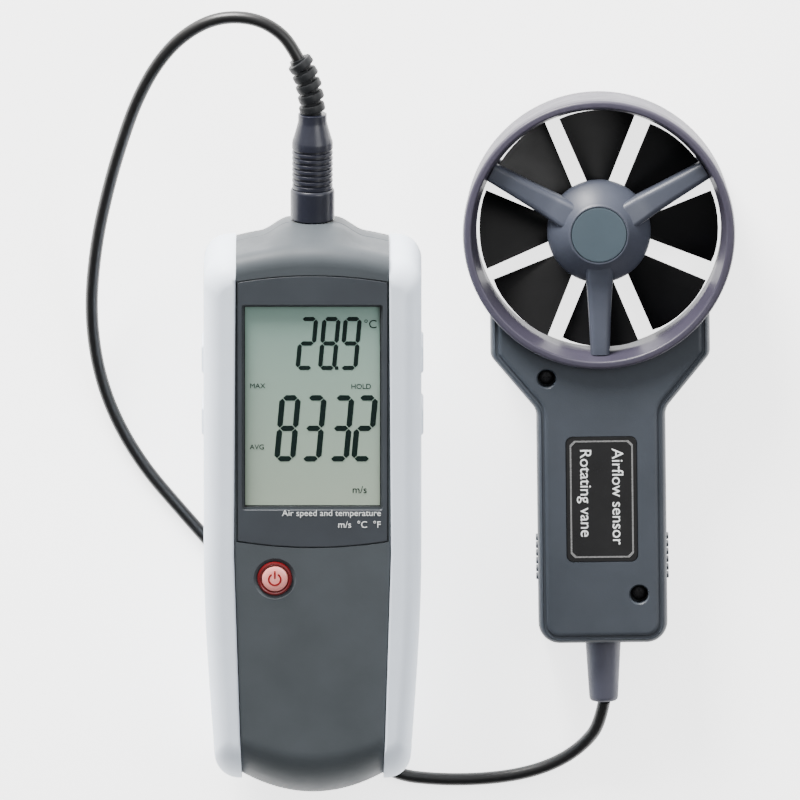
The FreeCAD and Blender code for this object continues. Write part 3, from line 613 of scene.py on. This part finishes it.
def cheek_rings():
    """The right cheek from its back to its front, bull-nosed on its outer side."""
    rings = []
    for step in range(9):
        turn = math.pi / 2 * step / 8
        level, amount = 0.4 + 6.5 * (1 - math.cos(turn)), 1 - math.sin(turn)
        rings.append((level, 5.0 * amount, 8.0 * amount, 8.0 * amount, 0.6 * amount ** 3))
    start, depth = 27.0, 19.8
    for step in range(21):
        level = start + depth * math.sin(math.pi / 2 * step / 20)
        front = 1 - math.sqrt(max(0, 1 - ((level - start) / depth) ** 2))
        amount = 1 - math.sqrt(max(0, 1 - (max(0, level - 38.3) / 8.5) ** 2))
        rings.append((level, 6.2 * amount, 8.6 * amount, 17.0 * front, 0.9 * amount ** 4))
    return [[(x, y, level) for x, y in cheek_outline(*amounts)] for level, *amounts in rings]


def grip_bump(low):
    """A soft pad that stands a little proud of the cheek's outer side."""
    high, inner, outer = low + 10.4, 33, 38.2
    corners = [(inner, low, 1.0), (outer, low, 1.3), (outer, high, 1.3), (inner, high, 1.0)]
    return slab(rounded_outline(corners, 6), 13, 33, 1.2, 1.2)


def make_cheeks():
    """The soft light cheeks on both sides, each with two grip pads."""
    right = joined(rings_to_solid(cheek_rings()), grip_bump(129.2), grip_bump(151.3))
    mirror = Matrix.Scale(-1, 4, (1, 0, 0))
    piece("cheek_right", right, METER, CHEEK, "meter", ["right_cheek"], sharp=42)
    piece("cheek_left", turned_by(right, mirror), METER, CHEEK, "meter", ["left_cheek"],
          sharp=42)


# ---- display and power key

def make_bezel():
    """The bezel plate with its bevelled window, the border behind the lens, and two lines of print."""
    opening = rectangle(24.15, 106.5, 179.5, 0.9)
    cutter = rings_to_solid([[(x, y, level) for x, y in inset(opening, amount)]
                             for level, amount in ((44, 0), (45.8, 0), (46.1, -0.25))])
    piece("bezel", slab(bezel_outline(-0.15), 44.8, FACE, 0, 0.2), METER, BEZEL_GREY, "meter",
          ["display_bezel"], cuts=[cutter])
    border = slab(rectangle(24.05, 106.6, 179.4, 0.8), 44.3, 44.75)
    hole = slab(rectangle(23.3, 107.4, 178.6, 0.5), 43, 46)
    piece("window_border", border, METER, LABEL_BLACK, "meter", cuts=[hole])
    right = 23.5
    use = ending_at(lettering("Air speed and temperature", 3.1, PRINT_THICKNESS), right, 104.4, FACE)
    units = ending_at(lettering("m/s  °C  °F", 3.3, PRINT_THICKNESS), right, 100.2, FACE)
    piece("bezel_print", joined(use, units), METER, PRINT_WHITE, "meter")


def bar(start, end, width):
    """A pointed display segment between two points, as an outline."""
    start, end = Vector(start), Vector(end)
    along = (end - start).normalized() * width / 2
    aside = Vector((-along.y, along.x))
    below = [start, start + along - aside, end - along - aside]
    above = [end, end - along + aside, start + along + aside]
    return [tuple(point) for point in below + above]


def digit(lit, wide, tall, stroke):
    """A seven-segment figure as outlines; lit names its segments from a, at the top, round to f, then g."""
    edge, gap = stroke / 2, 0.12 * stroke
    left, right, low, middle, high = edge, wide - edge, edge, tall / 2, tall - edge
    places = {
        "a": ((left + gap, high), (right - gap, high)), "b": ((right, high - gap), (right, middle + gap)),
        "c": ((right, middle - gap), (right, low + gap)), "d": ((left + gap, low), (right - gap, low)),
        "e": ((left, middle - gap), (left, low + gap)), "f": ((left, high - gap), (left, middle + gap)),
        "g": ((left + gap, middle), (right - gap, middle)),
    }
    return [bar(*places[name], stroke) for name in lit]


FIGURES = {"2": "abged", "3": "abgcd", "8": "abcdefg", "9": "abcdfg"}


def figures(text, starts, base, wide, tall, stroke):
    """A row of slanted figures standing on the liquid crystal."""
    solids, slant = [], 0.09
    for character, start in zip(text, starts):
        for outline in digit(FIGURES[character], wide, tall, stroke):
            leaning = [(start + x + slant * y, base + y) for x, y in outline]
            solids.append(slab(leaning, *READING))
    return solids


def lettering(text, size, thickness):
    """Plain raised letters that start at the origin and run along X."""
    curve = bpy.data.curves.new("letters", "FONT")
    curve.body = text
    curve.size = size
    curve.extrude = thickness / 2
    holder = bpy.data.objects.new("letters", curve)
    mesh = bpy.data.meshes.new_from_object(holder)
    points = [(corner.co.x, corner.co.y, corner.co.z + thickness / 2) for corner in mesh.vertices]
    faces = [tuple(face.vertices) for face in mesh.polygons]
    bpy.data.objects.remove(holder)
    bpy.data.meshes.remove(mesh)
    bpy.data.curves.remove(curve)
    return points, faces


def ending_at(solid, right, base, level):
    """The solid moved so that its right end, base line and underside are at these places."""
    return shifted(solid, (right - max(point[0] for point in solid[0]), base, level))


def make_reading():
    """What the display shows: two rows of figures, with small signs beside them."""
    upper = figures("289", (-5.9, 1.8, 9.1), 155.7, 6.3, 18.9, 1.5)
    lower = figures("8332", (-13.3, -4.4, 5.1, 13.2), 123.1, 7.3, 23.6, 1.9)
    point = slab(rectangle(0.6, 0, 1.2, 0.15), *READING)
    signs = [("°C", 4.2, (17.6, 170.6)), ("MAX", 2.5, (-21.6, 149.2)), ("HOLD", 2.5, (13.2, 149.0)),
             ("AVG", 2.5, (-21.6, 127.4)), ("m/s", 3.6, (13.6, 111.8))]
    small = [shifted(lettering(text, size, 0.08), (*place, READING[0])) for text, size, place in signs]
    solids = upper + lower + [shifted(point, (8.3, 155.8, 0))] + small
    piece("lcd_reading", joined(*solids), METER, DIGIT_DARK, "meter", sharp=20)


def make_key():
    """The red ring in its well, the pale red key and its power sign."""
    ring = lathe([(4.62, 43.4), (6.0, 43.4), (6.0, 45.9), (5.75, 46.3), (5.3, 46.42), (4.95, 46.25),
                  (4.62, 45.8)])
    piece("key_bezel", shifted(ring, KEY_PLACE), METER, RING_RED, "meter", ["button_ring"])
    cap = lathe([(0, 41.0), (6.0, 41.0), (6.0, 42.1), (4.5, 42.2), (4.5, 45.9), (4.35, 46.35), (3.9, 46.62),
                 (2.6, 46.78), (0, 46.84)])
    piece("key_face", shifted(cap, KEY_PLACE), METER, KEY_RED, "power_key", ["power_button"])
    outer = arc((0, 0), 2.35, 122, 418, 40)
    inner = arc((0, 0), 1.75, 418, 122, 40)
    stem = rounded_outline([(0.3, 0.3, 0.1), (0.3, 3.0, 0.1), (-0.3, 3.0, 0.1), (-0.3, 0.3, 0.1)], 3)
    sign = joined(slab(outer + inner, 46.6, 46.88), slab(stem, 46.6, 46.88))
    piece("key_sign", shifted(sign, KEY_PLACE), METER, SYMBOL_RED, "power_key")


# ---- plug

def make_plug():
    """Smooth collar, ribbed grip with its taper, and the bend relief: tilted beads on a linked core."""
    profile = [(0, 0), (6.9, 0), (7.45, 0.25), (7.6, 0.7), (7.6, 9.7), (7.45, 10.4), (7.1, 10.85), (0, 10.9)]
    collar = spindle(profile, (0, 203.1, PLUG_AXIS), 72)
    sleeve = piece("plug_sleeve", collar, METER, PLUG_BLACK, "probe", ["plug_collar"])
    profile, ribs = [(0, 0), (6.6, 0), (6.95, 0.25)], 7
    for number in range(ribs):
        low = 1.55 + number * 1.95
        profile += [(6.98, low - 0.12), (6.8, low + 0.02), (6.25, low + 0.15), (6.2, low + 0.7),
                    (6.8, low + 0.83), (7.05, low + 1.0)]
    profile += [(7.05, 16.1), (6.9, 16.9), (6.35, 18.6), (5.7, 20.9), (5.2, 22.8), (4.95, 23.8), (4.92, 26.3),
                (4.6, 26.5), (0, 26.5)]
    grip = spindle(profile, (0, 214, PLUG_AXIS), 72)
    handle = piece("plug_handle", grip, METER, PLUG_BLACK, "probe", ["plug_grip"])
    profile = [(0, 0.5), (3.7, 0.5), (4.3, 0.7), (4.5, 1.1), (4.5, 2.9), (4.3, 3.3), (3.7, 3.5), (0, 3.5)]
    bead = spindle(profile, (0, 0, 0), 48)
    core = spindle([(0, -0.4), (3.2, -0.4), (3.2, 4.2), (0, 4.2)], (0, 0, 0), 40)
    links = block((-1.6, -0.4, -4.1), (1.6, 4.3, 0)), block((-1.6, -0.4, 0), (1.6, 4.3, 4.1))
    spot, pitch, solids = Vector((0, 240.5, PLUG_AXIS)), 4, []
    centre = Matrix.Translation((0, pitch / 2, 0))
    tilt = centre @ Matrix.Rotation(math.radians(11), 4, "Z") @ centre.inverted()
    for number, lean in enumerate((3, 8.5, 14, 19.5, 25)):
        turn = Matrix.Rotation(math.radians(lean), 4, "Z")
        place = Matrix.Translation(spot) @ turn
        solids += [turned_by(bead, place @ tilt), turned_by(core, place),
                   turned_by(links[number % 2], place)]
        spot = spot + turn @ Vector((0, pitch, 0))
    relief = piece("plug_relief", joined(*solids), METER, RELIEF_BLACK, "probe",
                   ["plug_boot"])
    return [sleeve, handle, relief]


# ---- the display unit's back

def cross_cuts(width, reach, low, high):
    """Two crossed slots for a screwdriver."""
    return [block((-x, -y, low), (x, y, high)) for x, y in ((width, reach), (reach, width))]


def make_case_screws():
    """Four cross-head screws in the back's wells."""
    head = lathe([(0, 3.0), (2.8, 3.0), (2.8, 1.9), (2.5, 1.45), (1.8, 1.22), (0, 1.2)], 40)
    heads = joined(*at_each(SCREW_PLACES, head))
    cuts = at_each(SCREW_PLACES, *cross_cuts(0.35, 1.5, 0.5, 2.3))
    piece("case_screw_heads", heads, METER, STEEL, "meter", ["case_screws"], cuts=cuts)


def make_cover():
    """The battery cover: a plate with thumb grooves and an arrow, on two hooked rails."""
    plate = slab(rectangle(19, 35, 91, 3.0), -1.6, -0.05, 0.6, 0)
    steps = [number * 2.4 for number in range(6)]
    grooves = [block((-9, 41 + step, -3), (9, 42.1 + step, -1.05)) for step in steps]
    arrow = slab([(-3.2, 63), (0, 58.5), (3.2, 63)], -3, -1.25)
    rails = [block((side * 16.95 - 0.75, 45, -0.2), (side * 16.95 + 0.75, 80, 2.9)) for side in (-1, 1)]
    lips = [block((side * 18.0 - 1.8, 45, 2.5), (side * 18.0 + 1.8, 80, 3.7)) for side in (-1, 1)]
    piece("cover_plate", plate, METER, CASE_GREY, "cover", ["battery_cover"],
          cuts=grooves + [arrow])
    piece("cover_rails", joined(*rails, *lips), METER, CASE_GREY, "cover")


def make_stand():
    """The fold-out foot: a ribbed plate on its hinge barrel."""
    place = METER @ Matrix.Translation(STAND_HINGE) @ Matrix.Rotation(math.radians(10), 4, "X")
    upright = Matrix.Rotation(math.radians(90), 4, "X")
    plate = turned_by(slab(rectangle(21.8, -22.1, 0.5, 1.6), -1.5, 1.5, 0.5, 0.5, 4), upright)
    panel = rectangle(17.5, -18.5, -4.5, 1.5)
    sunk = [turned_by(slab(panel, *levels), upright) for levels in ((1.0, 3), (-3, -1.0))]
    ribs = [turned_by(block((x - 0.6, -19, -1.4), (x + 0.6, -4, 1.4)), upright) for x in (-9, 0, 9)]
    piece("foot_plate", plate, place, CASE_GREY, "stand", ["tilt_stand"], cuts=sunk)
    barrel = lathe([(1.3, 0), (2.2, 0), (2.4, 0.2), (2.4, 47.2), (2.2, 47.4), (1.3, 47.4)], 40)
    sideways = Matrix.Translation((-23.7, 0, 0)) @ Matrix.Rotation(math.radians(90), 4, "Y")
    barrel = turned_by(barrel, sideways)
    piece("foot_barrel", joined(barrel, *ribs), place, CASE_GREY, "stand")


# ---- the vane head

def make_ring():
    """The duct ring: rounded rims, a bell mouth at each end and a fine parting line round its middle."""
    section = [(46.1, 0, 1.0), (46.5, 14.85, 0), (46.3, 15.0, 0), (46.55, 15.15, 0), (47, 26, 3.5),
               (46.7, 30, 1.1), (44.1, 30, 0.8), (42.2, 20, 16), (42.2, 5, 5), (43.4, 0, 0.9)]
    outline = rounded_outline(section, 5)
    ring = lathe(outline + [outline[0]], 128)
    piece("duct_ring", ring, PROBE, RING_GREY, "probe", ["vane_ring"])


def arm(stations):
    """An arm along X from (distance, half width, low, high) stations, with soft upper edges."""
    rings = []
    for distance, half, low, high in stations:
        soft = min(2.2, half * 0.6)
        corners = [(half, low, 0.6), (half, high, soft), (-half, high, soft), (-half, low, 0.6)]
        rings.append([(distance, across, level) for across, level in rounded_outline(corners, 5)])
    return rings_to_solid(rings)


def around(solid, angles):
    """One solid of several copies, turned about Z by angles in degrees."""
    return joined(*[turned_by(solid, Matrix.Rotation(math.radians(angle), 4, "Z")) for angle in angles])


def make_spiders():
    """Front hub with its smooth dome and arms, its flat cap, and the slimmer rear spider."""
    dome = lathe([(0, 18.5), (17.3, 18.5), (17.9, 18.9), (17.9, 20.3), (17.6, 21.3), (16.9, 22.3),
                  (15.2, 24.2), (13.3, 26.2), (11.6, 27.9), (10.9, 28.7), (10.5, 29.15), (10.1, 29.4),
                  (9.72, 29.4), (9.68, 28.25), (0, 28.25)], 96)
    front_arm = arm([(9, 5.0, 18.5, 27.6), (14, 4.8, 18.5, 26.9), (17.5, 4.55, 18.5, 25.7),
                     (21, 4.3, 18.5, 25.0), (28, 3.9, 18.5, 24.75), (36, 3.55, 18.5, 24.7),
                     (40.8, 3.35, 18.5, 24.6), (42.6, 3.3, 18.7, 24.4)])
    bore = lathe([(0, 17), (3.1, 17), (3.1, 21.5), (0, 21.5)], 40)
    piece("hub_dome", dome, PROBE, SPIDER_GREY, "probe", ["front_spider"], sharp=28,
          cuts=[bore])
    piece("front_arms", around(front_arm, SPIDER_ANGLES), PROBE, SPIDER_GREY, "probe",
          sharp=28)
    cap = lathe([(0, 28.2), (9.58, 28.2), (9.6, 29.0), (9.35, 29.3), (8.9, 29.4), (0, 29.4)], 96)
    piece("hub_disc", cap, PROBE, CAP_GREY, "probe", ["hub_cap"])
    rear_hub = lathe([(3.05, 0.8), (10.4, 0.8), (11, 1.4), (11, 4.6), (10.6, 5.0), (3.05, 5.0)], 72)
    rear_arm = arm([(8, 3.6, 0.8, 4.6), (14, 3.5, 0.8, 4.6), (40, 2.95, 0.8, 4.6), (42.6, 2.9, 0.9, 4.5)])
    piece("rear_hub", rear_hub, PROBE, SPIDER_GREY, "probe", ["rear_spider"], sharp=28)
    piece("rear_arms", around(rear_arm, SPIDER_ANGLES), PROBE, SPIDER_GREY, "probe", sharp=28)


def blade():
    """One slightly cambered blade that points along Y, pitched about its own length."""
    half_sector, root, tip = math.radians(180 / BLADES), 8.6, 41.2
    stretch = 1 / math.cos(BLADE_PITCH)
    rows, columns = 12, 9

    def half_width(y):
        return y * math.tan(half_sector) - 2.8 / math.cos(half_sector)

    def surface(offset):
        points = []
        for row in range(rows):
            for column in range(columns):
                across = column / (columns - 1) * 2 - 1
                part = row / (rows - 1)
                x = across * half_width(root + (tip - root) * part) * stretch
                y = root + (math.sqrt(tip ** 2 - (x / stretch) ** 2) - root) * part
                x = across * half_width(y) * stretch
                camber = 0.9 * (1 - across * across) * (0.4 + 0.6 * part) - 0.45
                points.append((x, y, camber + offset * (1 - 0.45 * abs(across) ** 3)))
        return points

    points = surface(0.45) + surface(-0.45)
    count, faces = rows * columns, []
    for row in range(rows - 1):
        for column in range(columns - 1):
            first = row * columns + column
            quad = (first, first + 1, first + columns + 1, first + columns)
            faces += [quad, tuple(index + count for index in reversed(quad))]
    rim = list(range(columns)) + [row * columns + columns - 1 for row in range(1, rows)]
    rim += [(rows - 1) * columns + column for column in reversed(range(columns - 1))]
    rim += [row * columns for row in reversed(range(1, rows - 1))]
    for here, beside in zip(rim, rim[1:] + rim[:1]):
        faces.append((here, beside, beside + count, here + count))
    pitch = Matrix.Translation((0, 0, ROTOR_MIDDLE)) @ Matrix.Rotation(BLADE_PITCH, 4, "Y")
    return turned_by((points, faces), pitch)


def make_rotor():
    """The rotor: its blades, and a hub with bevelled rims and a seat for the magnet."""
    blades = around(blade(), [360 / BLADES * number for number in range(BLADES)])
    piece("rotor_blades", blades, PROBE, BLADE_BLACK, "vane", ["rotor"])
    hub = lathe([(1.05, 8.0), (8.9, 8.0), (9.4, 8.5), (9.4, 15.4), (8.8, 16.0), (1.05, 16.0)], 72)
    well = shifted(lathe([(0, 15.0), (1.65, 15.0), (1.65, 18), (0, 18)], 32), (6, 0, 0))
    piece("rotor_hub", hub, PROBE, BLADE_BLACK, "vane", cuts=[well])


# ---- the probe's handle

def handle_shell(levels):
    """Neck and handle as one solid from (level, inset) steps."""
    right = [(22.3, -143.3, 7.3), (22.3, -61.6, 6), (37.9, -42.8, 5), (37.9, -26, 1)]
    left = [(-x, y, radius) for x, y, radius in reversed(right)]
    outline = rounded_outline(right + left, 10)
    return rings_to_solid([[(x, y, level) for x, y in inset(outline, amount)] for level, amount in levels])


def side_ribs():
    """Low finger ribs on both sides of the handle."""
    solids = []
    for side in (-1, 1):
        near, far = sorted((side * 21.5, side * 22.95))
        for number in range(6):
            low = -121.0 + number * 2.7
            places = [(far, low), (far, low + 1.4), (near, low + 1.4), (near, low)]
            outline = rounded_outline([(x, y, 0.35) for x, y in places], 4)
            solids.append(slab(outline, 13.4, 21.5, 0.5, 0.5, 3))
    return solids


def label_outline(gap=0.0):
    """The label plate's outline, with a gap for its recess."""
    return rectangle(12.1 + gap, -114.4 - gap, -71.0 + gap, 2.2 + gap)


def make_handle():
    """Front and rear handle shells, with a fine groove round the front face and ribs at the sides."""
    front = handle_shell([(12.5, 0.25), (12.75, 0), (17, 0), (21.6, 0), (23.0, 0.15), (24.1, 0.6),
                          (24.8, 1.25), (24.98, 1.7), (24.5, 1.95), (24.45, 2.55), (24.95, 2.8), (25.35, 3.3),
                          (25.5, 4.2)])
    saddle = lathe([(0, -5), (47.12, -5), (47.12, 40), (0, 40)], 160)
    well = lathe([(0, 18.6), (3.15, 18.6), (3.15, 25.0), (3.6, 25.52), (3.6, 30), (0, 30)], 48)
    front_cuts = [saddle, slab(label_outline(0.3), 24.7, 30), *at_each(PROBE_SCREW_PLACES, well)]
    piece("handle_front", front, PROBE, PROBE_GREY, "probe", ["probe_front_shell"],
          cuts=front_cuts)
    piece("handle_ribs", joined(*side_ribs()), PROBE, PROBE_GREY, "probe")
    rear = handle_shell([(0, 2.4), (0.18, 1.5), (0.7, 0.7), (1.5, 0.18), (2.4, 0), (12.25, 0), (12.5, 0.25)])
    piece("handle_rear", rear, PROBE, PROBE_GREY, "probe", ["probe_rear_shell"], cuts=[saddle])
    head = lathe([(0, 18.6), (2.75, 18.6), (2.75, 19.5), (2.4, 20.1), (1.6, 20.45), (0, 20.55)], 40)
    heads = joined(*at_each(PROBE_SCREW_PLACES, head))
    cuts = at_each(PROBE_SCREW_PLACES, *cross_cuts(0.35, 1.5, 19.4, 22))
    piece("probe_screw_heads", heads, PROBE, BLACK_STEEL, "probe", ["probe_screws"], cuts=cuts)


def label_line(gap):
    """The label's frame line, an octagon with short cut corners."""
    half, low, high, cut = 10.9 + gap, -113.1 - gap, -72.2 + gap, 1.5
    return [(half - cut, low), (half, low + cut), (half, high - cut), (half - cut, high), (cut - half, high),
            (-half, high - cut), (-half, low + cut), (cut - half, low)]


def make_label():
    """The black label plate with a silver frame line and two lines of plain lettering."""
    piece("label_plate", slab(label_outline(), 24.75, LABEL_FACE, 0, 0.15), PROBE, LABEL_BLACK, "probe",
          ["probe_label"])
    piece("label_line", slab(label_line(0.0), 25.2, 25.42), PROBE, SILVER, "probe",
          cuts=[slab(label_line(-0.55), 24, 27)])
    down = Matrix.Rotation(math.radians(-90), 4, "Z")
    words = []
    for text, x in (("Rotating vane", -7.3), ("Airflow sensor", 3.7)):
        place = Matrix.Translation((x, -75.0, LABEL_FACE)) @ down
        words.append(turned_by(lettering(text, 5.6, PRINT_THICKNESS), place))
    piece("label_print", joined(*words), PROBE, PRINT_WHITE, "probe")


def make_gland():
    """The tapered cord gland, rounded at its tip, with a neck that goes into the handle."""
    profile = [(0, 0), (3.4, 0), (4.3, 0.25), (4.85, 0.9), (5.0, 1.7), (5.25, 6), (5.65, 13), (6.0, 19),
               (6.1, 20.6), (6.1, 21.65), (4.9, 21.7), (4.9, 24.7), (0, 24.7)]
    cone = spindle(profile, (0, -165, 13), 72)
    piece("gland_cone", cone, PROBE, GLAND_GREY, "probe", ["cable_gland"])


# ---- the cord

CORD_DIAMETER = 0.0044
# From the plug's bend relief over the loop, under the display unit and on to the probe's gland.
CORD_ROUTE = [
    (-0.05849, 0.13871, 0.0548), (-0.0615, 0.1445, 0.0550), (-0.0661, 0.1491, 0.0552),
    (-0.0722, 0.1523, 0.0549), (-0.0794, 0.1534, 0.0542), (-0.0870, 0.1525, 0.0530),
    (-0.0942, 0.1491, 0.0512), (-0.1014, 0.1433, 0.0488), (-0.1078, 0.1349, 0.0456),
    (-0.1128, 0.1254, 0.0418), (-0.1169, 0.1151, 0.0378), (-0.1234, 0.0936, 0.0286),
    (-0.1288, 0.0682, 0.0186), (-0.1307, 0.0414, 0.0098), (-0.1262, 0.0154, 0.0040),
    (-0.1146, -0.0079, 0.0022), (-0.0972, -0.0284, 0.0022), (-0.0796, -0.0482, 0.0022),
    (-0.0638, -0.0694, 0.0022), (-0.0510, -0.0902, 0.0022), (-0.0386, -0.1082, 0.0022),
    (-0.0262, -0.1185, 0.0022), (-0.0104, -0.1204, 0.0022), (0.0072, -0.1201, 0.0022),
    (0.0218, -0.1177, 0.0023), (0.0332, -0.1129, 0.0034), (0.0410, -0.1064, 0.0063),
    (0.0455, -0.0994, 0.0104), (0.04701, -0.09099, 0.0130),
]


def make_cord():
    """The cord as one smooth curve with a round section."""
    curve = bpy.data.curves.new("probe_lead", "CURVE")
    curve.dimensions = "3D"
    line = curve.splines.new("NURBS")
    line.points.add(len(CORD_ROUTE) - 1)
    for point, place in zip(line.points, CORD_ROUTE):
        point.co = (*place, 1)
    line.order_u = 3
    line.use_endpoint_u = True
    line.resolution_u = 10
    curve.resolution_u = 10
    curve.bevel_depth = CORD_DIAMETER / 2
    curve.bevel_resolution = 6
    curve.use_fill_caps = True
    curve.materials.append(CORD_BLACK)
    lead = put("probe_lead", curve)
    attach(lead, "probe")
    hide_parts("probe_cord")
    return lead


# ---- floor, light and camera

def make_camera():
    """The photograph's view: from a little beyond the plug end, nearly square on, with a long lens."""
    lean = math.radians(8.5)
    back = Vector((0, math.sin(lean), math.cos(lean)))
    up = Vector((0, math.cos(lean), -math.sin(lean)))
    target = Vector((-0.0236, 0.0159, 0.025))
    distance, view_width, sensor = 12.0, 0.276, 36.0
    data = bpy.data.cameras.new("camera")
    data.sensor_width = sensor
    data.lens = sensor * distance / view_width
    data.clip_end = 50
    camera = put("camera", data)
    turn = Matrix((up.cross(back), up, back)).transposed().to_4x4()
    camera.matrix_world = Matrix.Translation(target + back * distance) @ turn
    bpy.context.scene.camera = camera


def area_light(name, place, power, colour=(1, 1, 1)):
    """A soft round lamp aimed at the middle of the floor."""
    data = bpy.data.lights.new(name, "AREA")
    data.shape = "DISK"
    data.size = 0.9
    data.energy = power
    data.color = colour
    lamp = put(name, data)
    lamp.location = place
    lamp.rotation_mode = "QUATERNION"
    lamp.rotation_quaternion = Vector(place).to_track_quat("Z", "Y")


def make_stage():
    """A pale glowing floor, room light that is stronger beyond the plug end, and two soft lamps."""
    mesh = bpy.data.meshes.new("floor")
    half, level = 3.0, -0.0001
    corners = [(-half, -half, level), (half, -half, level), (half, half, level), (-half, half, level)]
    mesh.from_pydata(corners, [], [(0, 1, 2, 3)])
    floor = put("floor", mesh)
    pale, surface = shader("floor_white", (0.92, 0.92, 0.92), 0.8, Emission_Color=(1, 1, 1, 1),
                           Emission_Strength=2.6)
    tree = pale.node_tree
    tint = blend_colours(tree, noise(tree, 3), (0.9, 0.9, 0.9), (0.93, 0.93, 0.93))
    tree.links.new(tint, surface.inputs["Base Color"])
    mesh.materials.append(pale)
    world = bpy.data.worlds.new("room")
    world.use_nodes = True
    tree = world.node_tree
    way = tree.nodes.new("ShaderNodeTexCoord")
    parts = tree.nodes.new("ShaderNodeSeparateXYZ")
    tree.links.new(way.outputs["Generated"], parts.inputs["Vector"])
    glow = spread(tree, parts.outputs["Y"], 0.25, 1.9, -0.2, 0.9)
    tree.links.new(glow, tree.nodes["Background"].inputs["Strength"])
    tree.nodes["Background"].inputs["Color"].default_value = (1, 1, 1, 1)
    bpy.context.scene.world = world
    area_light("key", (-0.7, 1.8, 0.65), 165, (1.0, 0.975, 0.95))
    area_light("fill", (0.9, 0.3, 1.3), 9)


make_camera()
LEAD = make_cord()
make_stage()
dress_nodes()
make_case()
make_cheeks()
make_bezel()
make_reading()
make_key()
PLUG_PIECES = make_plug()
make_case_screws()
make_cover()
make_stand()
make_ring()
make_spiders()
make_rotor()
make_handle()
make_label()
make_gland()
